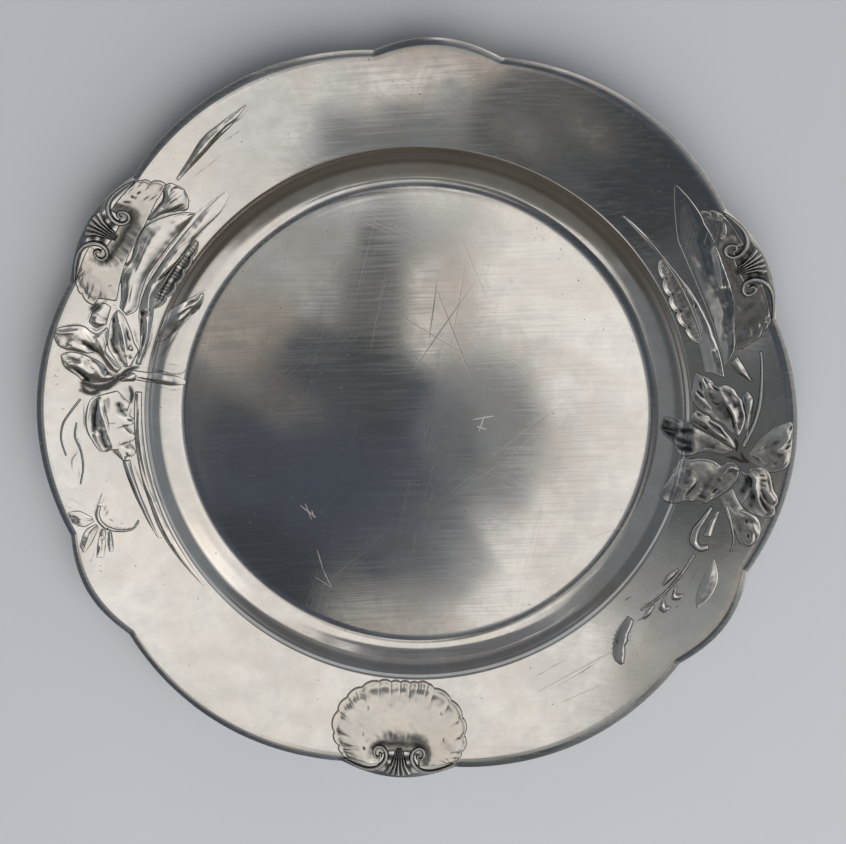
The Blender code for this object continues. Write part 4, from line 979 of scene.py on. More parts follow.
LEFT_STROKES = [
    # The dark hollow at the hub, and its arms, darkened with grime and painted shade
    *cut("pool", (175.3, .575, 175.7, .508, 175.8, .423, 175.3, .351, 174.6, .298, 173.5, .258)),
    *cut("hub", (176.3, .412, 175.8, .348, 175, .296), (176.6, .6, 177, .52, 176.4, .43, 175.6, .36),
        (174.9, .33, 173.6, .25, 172.4, .19), (173.7, .266, 172.6, .217, 171.6, .158, 171, .095), (175.8, .591,
        176.7, .55, 177.1, .483, 176.9, .428), (175.3, .144, 176.5, .121, 178.3, .125)),
    *cut("groove", (171, .095, 170.9, -.05, 171.3, -.26, 171.6, -.442, 171.9, -.7, 171.2, -.892, 169.6, -.989,
        168.3, -1.12), (173.3, .079, 173.5, -.095, 174.2, -.306), (178.3, .563, 180.9, .562, 183.2, .559,
        184.5, .536), (179.6, .124, 181.2, .133)),
    *cut("line", (175.1, -.442, 175.7, -.625, 175.5, -.824, 174.9, -1.02)),
    *cut("hollow", (174.6, .091, 175.2, .003, 176.1, -.126)),
    *cut("bead", (176.3, .533, 175.9, .497, 176.2, .459)),
    # The toothed leaf
    *cut("bead", (177.8, .462, 179.1, .506, 180.7, .525, 182.7, .534, 184.5, .518, 186, .489, 187.2, .46),
        (176, .235, 178, .173, 179, .143), (181.4, .133, 182.3, .097, 182.9, .126, 182.8, .173), (183.4, .156,
        184.7, .113, 185.8, .098), (186.5, .159, 187.6, .127, 188.9, .127), (177.5, .099, 180.4, .095)),
    *cut("deep", (178.6, .461, 180.4, .478, 182, .485, 183.5, .476), (184.1, .413, 185.6, .402, 186.8, .381),
        (179, .237, 180.2, .208, 180.6, .17)),
    *cut("hollow", (178, .443, 180, .46, 182.8, .464), (175.6, .19, 177, .166, 178.2, .144), (187, .201,
        187.7, .157)),
    *cut("ridge", (184, .469, 185.5, .448, 187.1, .421), (178.2, .429, 180, .404, 181.9, .377, 184.2, .352)),
    *cut("line", (178.1, .378, 180.2, .367, 181.9, .34, 184.4, .338), (182.5, .341, 182.5, .266)),
    *cut("shade", (178.5, .387, 179.6, .376), (187.5, .252, 188.8, .204), (178.1, .359, 180, .348)),
    *cut("groove", (176.3, .253, 177.4, .212, 178.6, .153), (182.8, .201, 184.3, .149, 185.2, .105),
        (181.8, .162, 182.3, .115), (187.6, .349, 188.6, .299, 189.7, .251), (189.5, .181, 188.4, .201),
        (177.1, .081, 181, .067, 186.2, .091, 189.4, .082)),
    # The curled leaf
    *cut("groove", (172, .816, 172.9, .779, 173.5, .718, 174, .649, 174.8, .587), (173, .413, 172.4, .398,
        172.8, .367, 173.4, .381, 173.1, .403), (175.3, .593, 175.3, .5, 175.2, .408)),
    *cut("bead", (170.9, .82, 170.7, .785, 170.4, .731), (172.7, .735, 172.2, .739, 172.2, .712), (173.3, .344,
        173.7, .314)),
    *cut("hollow", (171.3, .796, 171.3, .731, 171.4, .663), (172.9, .695, 173.6, .624, 174.5, .552)),
    *cut("shade", (171.4, .776, 171.5, .681, 171.8, .603), (173.1, .628, 173.8, .547, 174.4, .487)),
    *cut("line", (172.8, .742, 172.4, .761, 171.9, .742, 171.9, .696)),
    *cut("ridge", (170.6, .625, 171.1, .544, 171.8, .48, 172.8, .433)),
    *cut("swell", (171.8, .518, 172.7, .462, 173.9, .416), (172.3, .654, 172.8, .593, 173.4, .532)),
    # The tip leaf
    *cut("groove", (168.7, .927, 169.6, .876, 170, .804, 170.2, .735), (166.6, .927, 166, .823, 165.5, .724,
        165.9, .648), (165.5, .636, 165.9, .569, 165.1, .514), (170, .708, 170.2, .611, 170.3, .533)),
    *cut("bead", (166.4, .639, 166.5, .587, 166.6, .548, 165.8, .502, 165.3, .481), (165.1, .475, 166.3, .449,
        167.8, .441, 168.9, .431, 169.8, .386, 170.8, .319, 171.4, .274)),
    *cut("shade", (168, .806, 168.3, .705, 168.8, .61, 169.5, .544), (168.2, .908, 168.5, .816)),
    *cut("hollow", (168.4, .645, 168.9, .581, 169.6, .533), (169.5, .505, 170.6, .435, 171.7, .386,
        172.6, .359)),
    *cut("line", (166.7, .672, 167.4, .613, 168.3, .561), (166.1, .526, 167.3, .467, 168.9, .445)),
    *cut("ridge", (166.8, .554, 168.1, .485, 169.6, .418, 170.9, .356, 172.1, .307), (167.6, .889, 167.2, .82,
        166.7, .75)),
    *cut("swell", (169.3, .747, 169.6, .647, 169.9, .567)),
    # The calyx over the shell
    *cut("groove", (165.7, .64, 165.3, .54, 164.6, .49), (161.6, .64, 160.6, .6, 160, .56), (163.6, .44,
        162.4, .46)),
    *cut("line", (163, .67, 163.3, .557, 163.8, .475), (164.8, .69, 163.2, .685, 162.4, .71), (161, .52,
        160.4, .48), (162.4, .45, 161, .47, 160.2, .505), (161.8, .6, 160, .61)),
    *cut("pool", (162.4, .67, 161.7, .655)),
    *cut("ridge", (164.4, .62, 164.4, .55, 164.2, .5)),
    # The inner leaf
    *cut("deep", (163.7, .439, 165.8, .392, 167.8, .344, 169.5, .293, 170.9, .25)),
    *cut("hollow", (165.1, .435, 167.2, .4, 168.9, .348), (162, .184, 164.3, .144, 166.4, .104)),
    *cut("line", (164.5, .333, 166, .27, 167.3, .233)),
    *cut("groove", (166.7, .21, 167.8, .216, 167.9, .186, 166.7, .21), (168.7, .186, 169.5, .187, 169.2, .161),
        (163.2, .244, 165.2, .182, 167.3, .113), (163.9, .294, 165.7, .245, 166.2, .218)),
    *cut("bead", (162.9, .323, 164.5, .253, 166.5, .194, 167.8, .137), (168, .134, 169.6, .157, 170.9, .174)),
    *cut("ridge", (163.6, .371, 165.2, .312, 167, .266, 168.9, .233)),
    *cut("shade", (168.1, .242, 170.1, .239)),
    # The blades over the hub
    *cut("ridge", (161.4, .121, 164, .088, 167.4, .092, 170.2, .102), (160.6, .018, 164.4, .01, 168.1, -.01,
        170.6, -.045), (171.7, .042, 172.2, -.025)),
    *cut("groove", (161.2, .071, 165, .033, 168.5, .051, 170.7, .05), (160.5, -.083, 164.7, -.06, 168.2, -.064,
        170.6, -.07), (159.4, -.507, 162.2, -.359, 165.8, -.174), (162.3, -.519, 165.4, -.417, 168.7, -.405)),
    *cut("line", (171, .077, 167.5, .062, 164.3, .063), (167.7, .019, 167.7, -.077), (164.3, .001,
        163.7, -.103)),
    *cut("shade", (162, -.246, 166.7, -.199, 170.7, -.198)),
    # The long leaf and the far leaf
    *cut("groove", (161.2, .425, 159.2, .45, 157, .487, 155, .53, 153.7, .545, 153.1, .505, 151.3, .497,
        149.7, .523, 147.7, .543, 145.4, .557, 143.2, .52, 141.2, .45, 139.4, .38, 138.5, .35), (161.7, .283,
        160, .268, 155, .272, 151, .26, 145.3, .256, 142, .27, 138.3, .283, 135, .25), (145.4, .58, 143, .6,
        140.2, .622, 139.3, .655, 138.7, .694, 137, .678), (139, .605, 138, .615, 137, .59, 136.6, .575),
        (141.4, .565, 139.6, .54, 137.6, .5), (142.6, .53, 140.8, .485, 138.8, .43)),
    *cut("shade", (161.7, .283, 160, .27, 155, .274, 151, .262)),
    *cut("line", (159.7, .375, 157.4, .385, 155, .395), (155.2, .41, 150, .43, 145.4, .47), (150.2, .5,
        147, .517, 146, .515), (161.6, .39, 159.2, .43), (140.2, .35, 138.8, .3, 138.4, .26), (136.5, .536,
        137, .5, 137.2, .434, 137.8, .385, 138.4, .36), (142, .55, 140.2, .52, 138.4, .48), (142, .49,
        140.2, .44, 138.6, .395), (141, .58, 139, .57, 137.2, .54), (140.6, .42, 139.2, .375)),
    *cut("bead", (157, .47, 154.6, .51, 152.8, .48, 150.8, .478, 148, .52, 145.2, .535)),
    # The root blades, and the pod's cusps
    *cut("groove", (154.3, .228, 153, .178, 151, .142, 149, .115, 147.5, .105), (159, .108, 155, .106,
        148, .105, 141, .107, 136, .11), (159.4, .15, 158.6, .145)),
    *cut("line", (154, .255, 151, .24, 147.7, .198, 145.7, .175, 143, .167, 141, .19, 138.7, .2), (138.6, .27,
        135, .252, 132, .23, 130.8, .222), (140, .115, 136, .11, 132.4, .125), (157.6, .23, 157, .2,
        156.6, .17)),
    *cut("shade", (153, .25, 150, .225, 147.6, .19), (164.6, .2, 163, .215, 161, .2), (169.6, .07, 166, .035,
        162, .045, 160, .075), (158, .012, 150, .008, 143, .02)),
    *cut("ridge", (153, .215, 151, .175, 148.6, .135, 144, .128), (168, .12, 164.6, .135, 161.6, .165),
        (160, .14, 157, .2, 154.8, .215)),
    *cut("hollow", (160.2, .225, 160.2, .17), (169, .105, 165, .11, 162.4, .15, 160.6, .2)),
    # The long tip by the lip, and faint creases beyond it
    *cut("groove", (137, .625, 134, .657, 131, .7, 128.5, .74, 126.6, .762, 126.2, .745), (130.2, .612,
        127.5, .66, 125, .697, 122, .695, 120.2, .735, 119.4, .775)),
    *cut("line", (126.2, .748, 125, .745, 124, .728), (135.5, .54, 131, .52, 127, .51), (126.8, .605, 123.5, .6,
        122, .625)),
    # The leaf and the tendril on the wall
    *cut("groove", (170, -.115, 165, -.4, 160.3, -.525, 157.3, -.66, 154.3, -.77), (157.7, -.115, 155.3, -.32,
        153, -.5, 151, -.635, 150.3, -.7), (159.7, -.43, 157.7, -.57, 156, -.65), (171.5, .05, 171.6, -.3,
        171.8, -.62, 171.2, -.88)),
    *cut("shade", (166, -.36, 160.8, -.52, 157.6, -.65, 154.6, -.76)),
    *cut("ridge", (163.4, -.3, 159.6, -.5, 156.2, -.68), (157.6, -.34, 155.2, -.5, 153.2, -.63)),
    *cut("hollow", (158.6, -.36, 156.8, -.46, 156, -.52), (154.6, -.45, 153.2, -.56)),
    *cut("soft_shade", (162, -.15, 160.4, -.2, 159, -.26)),
    *cut("line", (164.2, 0, 163.6, -.08), (167.4, 0, 167.2, -.06), (174.9, -.06, 175.1, -.4, 175.6, -.62,
        175.2, -.84), (169.9, -.4, 169.6, -.62, 169.8, -.8), (173.6, -.05, 173.4, -.3)),
    # The reeds
    *cut("groove", (190.1, .254, 193, .237, 196.3, .212, 199.6, .196), (190, .156, 192.4, .14, 196, .114,
        199.7, .088), (177.9, .051, 181, .058, 185.2, .067, 190.6, .072, 195.4, .064, 199.5, .052,
        202.5, .041)),
    *cut("ridge", (190.2, .216, 193.2, .199, 196.5, .174, 199.9, .158), (190.4, .119, 193, .106, 196.3, .087,
        199.4, .061)),
    *cut("line", (188.9, .039, 194.1, .017, 199.3, -.042, 203.8, -.11), (199.8, .069, 199.7, -.025)),
    # The tendrils
    *cut("groove", (177.9, .592, 179, .627, 179.9, .654), (186.8, .647, 187.6, .673, 188.4, .719, 189.7, .736,
        190.7, .74)),
    *cut("line", (179.9, .654, 180.9, .71, 182, .759, 183.3, .782, 185.2, .784, 186.9, .77, 188.1, .745),
        (180.4, .728, 181.7, .666, 182.6, .631, 184.2, .647, 185.6, .628, 187, .62, 188.8, .628, 190.5, .65,
        192.6, .702), (189, .679, 190.6, .68, 192.5, .72), (179.9, .783, 179.9, .728), (172.9, .835,
        173.9, .826), (174.6, .876, 174.6, .811), (176.2, .857, 175.6, .795)),
]
leaf("left_tip_leaf", path(172.8, .291, 172.1, .364, 170.8, .433, 169.8, .511, 170, .614, 170, .737,
     169.9, .814, 169.3, .89, 168.3, .935), path(171.7, .252, 170.8, .319, 170, .384, 169.1, .434, 167.4, .437,
     165.7, .453, 164.9, .478, 165.6, .505, 166.4, .551, 166.3, .612, 165.7, .69, 165.9, .775, 166.5, .87,
     167.1, .927, 168.3, .935), keel=0.6, strokes=LEFT_STROKES)
leaf("left_curled_leaf", path(174, .311, 174.6, .374, 174.9, .447, 175, .521, 174.9, .586, 174.2, .638,
     173.5, .709, 172.9, .77, 172, .807, 171.1, .827), path(173.2, .298, 172.9, .348, 171.8, .413, 171.1, .478,
     170.7, .549, 170.4, .628, 170.3, .705, 170.5, .778, 171.1, .827), strokes=LEFT_STROKES)
leaf("left_inner_leaf", path(171.4, .217, 170.7, .291, 169.4, .362, 168.1, .418, 166.1, .438, 164.2, .46,
     162.5, .464, 161.2, .441), path(171, .163, 169.6, .148, 167.8, .127, 166.4, .184, 164.6, .241, 163, .31,
     161.8, .376, 161.2, .441), crown=BLADE_CROWN, strokes=LEFT_STROKES)
leaf("left_calyx", path(164.3, .5, 165.3, .585, 164.7, .66), path(161.2, .52, 160.9, .6, 162.6, .665),
     crown=BLADE_CROWN, strokes=LEFT_STROKES)
leaf("left_long_leaf", path(160.6, .435, 157, .485, 154.6, .53, 153.4, .525, 152.4, .495, 149.4, .52,
     145.5, .545, 142.5, .48, 140, .39, 138.6, .29), path(161.6, .34, 160.5, .285, 157, .285, 153, .29,
     150, .275, 146, .27, 142, .275, 138.6, .285), strokes=LEFT_STROKES)
leaf("left_far_leaf", path(144.6, .575, 141.5, .61, 139.9, .635, 138.9, .68, 137.6, .665, 137.1, .6,
     136.7, .52), path(144.4, .56, 142.2, .52, 140.3, .445, 138.9, .375, 137.6, .42, 136.7, .52),
     crown=BLADE_CROWN, strokes=LEFT_STROKES)
leaf("left_long_tip", path(136.2, .645, 132.5, .685, 128.5, .745, 125.5, .75, 120, .775), path(136.2, .622,
     131, .625, 127, .655, 123.5, .69, 120, .775), crown=STEM_CROWN, ends=(0.3, 0.15), edge=0.16,
     strokes=LEFT_STROKES)
leaf("left_root_blade", path(170.4, .12, 167, .115, 163.5, .165, 160.5, .235, 156, .255, 151, .235, 146, .225,
     139, .235, 131.5, .225), path(170.4, .075, 166, .055, 161, .085, 157, .135, 152, .14, 147, .12, 141, .125,
     134, .13, 131.5, .18), crown=BLADE_CROWN, ends=(1.0, 0.1), strokes=LEFT_STROKES)
pod("left_pod", path(158.6, .165, 154.3, .138, 150.5, .124, 146.2, .108, 142.4, .104), 158.6, 142.4, -0.015, 5,
     LEFT_STROKES, cells=0.75)
over_wall("left_wall_leaf", [(-.76, 153.4, 155.4), (-.66, 151.6, 157), (-.6, 152.8, 157.6), (-.4, 154.6, 162.4),
     (-.2, 156.8, 164.4), (-.06, 158.6, 165)], LEAF_CROWN, LEFT_STROKES)
over_wall("left_wall_tendril", [(-.98, 173.2, 173.8), (-.8, 172.5, 174.3), (-.6, 172.2, 174.5),
     (-.3, 172.1, 174.2), (0, 171.9, 173.8), (.15, 171.9, 173.6)], STEM_CROWN, LEFT_STROKES, ends=(0.1, 1.0),
     bead=0.06, edge=0.2)
leaf("left_toothed_leaf", path(177.6, .454, 178, .49, 179.3, .525, 180.9, .544, 182.7, .547, 184.1, .535,
     185.4, .504, 186.6, .475, 187.6, .435, 187.8, .379, 187.5, .338, 188.4, .297, 189.4, .268, 190.2, .235),
     path(176.3, .262, 177.4, .202, 178.8, .143, 179.6, .152, 180.4, .161, 181.4, .124, 182.3, .092,
     182.9, .126, 183.2, .165, 184.3, .13, 185.6, .097, 186.2, .119, 186.5, .159, 187.6, .127, 188.9, .117,
     189.4, .16, 189.3, .188, 190.2, .235), keel=0.4, strokes=LEFT_STROKES)
leaf("left_bud", path(173.7, .247, 173, .195, 172.2, .144, 172.7, .092), path(174.3, .234, 174.1, .169,
     173.9, .114, 172.7, .092), crown=BLADE_CROWN, ruffle=0.1, strokes=LEFT_STROKES)
leaf("left_outer_reed", path(190.2, .245, 196, .225, 201, .2, 207.5, .15), path(190.2, .18, 198, .17, 203, .155,
     207.5, .15), crown=STEM_CROWN, ends=(1.0, 0.1), edge=0.2, strokes=LEFT_STROKES)
leaf("left_inner_reed", path(176.2, .085, 185, .095, 195, .1, 205, .105, 213, .08, 221.5, .045),
     path(176.2, .03, 185, .022, 195, .022, 205, .022, 213, .022, 221.5, .045), crown=STEM_CROWN, ends=(1.0,
     0.1), edge=0.2, strokes=LEFT_STROKES)
band("left_tendril_long", path(178.2, .6, 180.2, .68, 182.2, .755, 184.6, .79, 187.6, .77), (0.006, 0.005,
     0.003), STEM_CROWN / 3, spray_metal, "spray_pewter", edge=0.05)
band("left_tendril_short", path(182.3, .635, 184.5, .66, 187, .625, 190.2, .635, 192.8, .7), (0.004, 0.005,
     0.003), STEM_CROWN / 3, spray_metal, "spray_pewter", edge=0.05)
soil_and_shade_plate(LEFT_STROKES)

# The insect beside the left spray is the flattest casting: a curved body with a round head, and four narrow
# wings spread to the lip, each with a raised vein.
INSECT_CROWN = 0.0006
insect_metal = cast_metal("insect pewter", (0.67, 0.65, 0.62), (0.57, 0.56, 0.54), (0.10, 0.095, 0.09), 0.10)
INSECT_STROKES = [
    *cut("groove", (204.3, .93, 202.6, .865, 201.2, .79, 200.1, .7), (205.8, .76, 204.6, .71, 203.4, .69,
        202.6, .665), (202.2, .71, 201.4, .67), (205, .61, 203, .612, 200.9, .612), (198.9, .8, 198.2, .87,
        197.4, .96), (197.6, .64, 196.9, .6, 196.9, .56), (197, .6, 196, .56, 195, .515), (199.6, .59, 199, .56,
        198.4, .53), (198.6, .58, 197.6, .53), (200, .57, 201, .52), (201, .58, 202.2, .5, 203.1, .4,
        203.3, .31, 202.9, .285), (203.2, .29, 202.3, .275)),
    *cut("line", (205.3, .9, 205.6, .84, 204.4, .79, 203.4, .765), (205, .67, 203, .66, 201.6, .655),
        (199.8, .8, 199.4, .95), (197.1, .72, 195.6, .8, 194.1, .9), (196.6, .86, 195.6, .92), (195.2, .92,
        194.8, .98), (197.3, .58, 196.6, .54, 196, .505), (199.2, .57, 198.9, .52), (197.8, .61, 197.5, .54),
        (201.6, .6, 202.5, .53, 203.5, .45, 204, .4), (198.6, .84, 199, .92), (201.8, .88, 202.2, .82)),
    *cut("hollow", (203.6, .69, 202.8, .68), (199.2, .68, 198, .66, 197.2, .63)),
]
band("dragonfly_body", path(197.4, .6, 198.8, .655, 200.4, .655, 202, .57, 203.1, .45, 203.4, .35, 202.4, .275),
     (0.014, 0.02, 0.016, 0.01, 0.008, 0.006), INSECT_CROWN / 3, insect_metal, "insect_pewter", edge=0.05,
     strokes=INSECT_STROKES)
WINGS = [
    (path(198.9, .72, 197.2, .82, 197, .92), path(199.7, .72, 199.9, .84, 198.8, .92)),
    (path(200.3, .715, 200.7, .83, 202.8, .92), path(201, .7, 203, .8, 204, .89)),
    (path(201.4, .665, 203.4, .73, 205.6, .78), path(201.8, .63, 204.2, .665, 206, .72)),
    (path(202.3, .595, 203.8, .63, 205.6, .645), path(202.6, .575, 204.2, .585, 205.8, .61)),
]
for number, (first, second) in enumerate(WINGS, start=1):
    leaf(f"dragonfly_wing_{number}", first, second, crown=INSECT_CROWN / 2, rib=0.12, metal=insect_metal,
         slot="insect_pewter", edge=0.12, bead=0.05, ends=(1.0, 0.3), strokes=INSECT_STROKES)
soil_and_shade_plate(INSECT_STROKES)

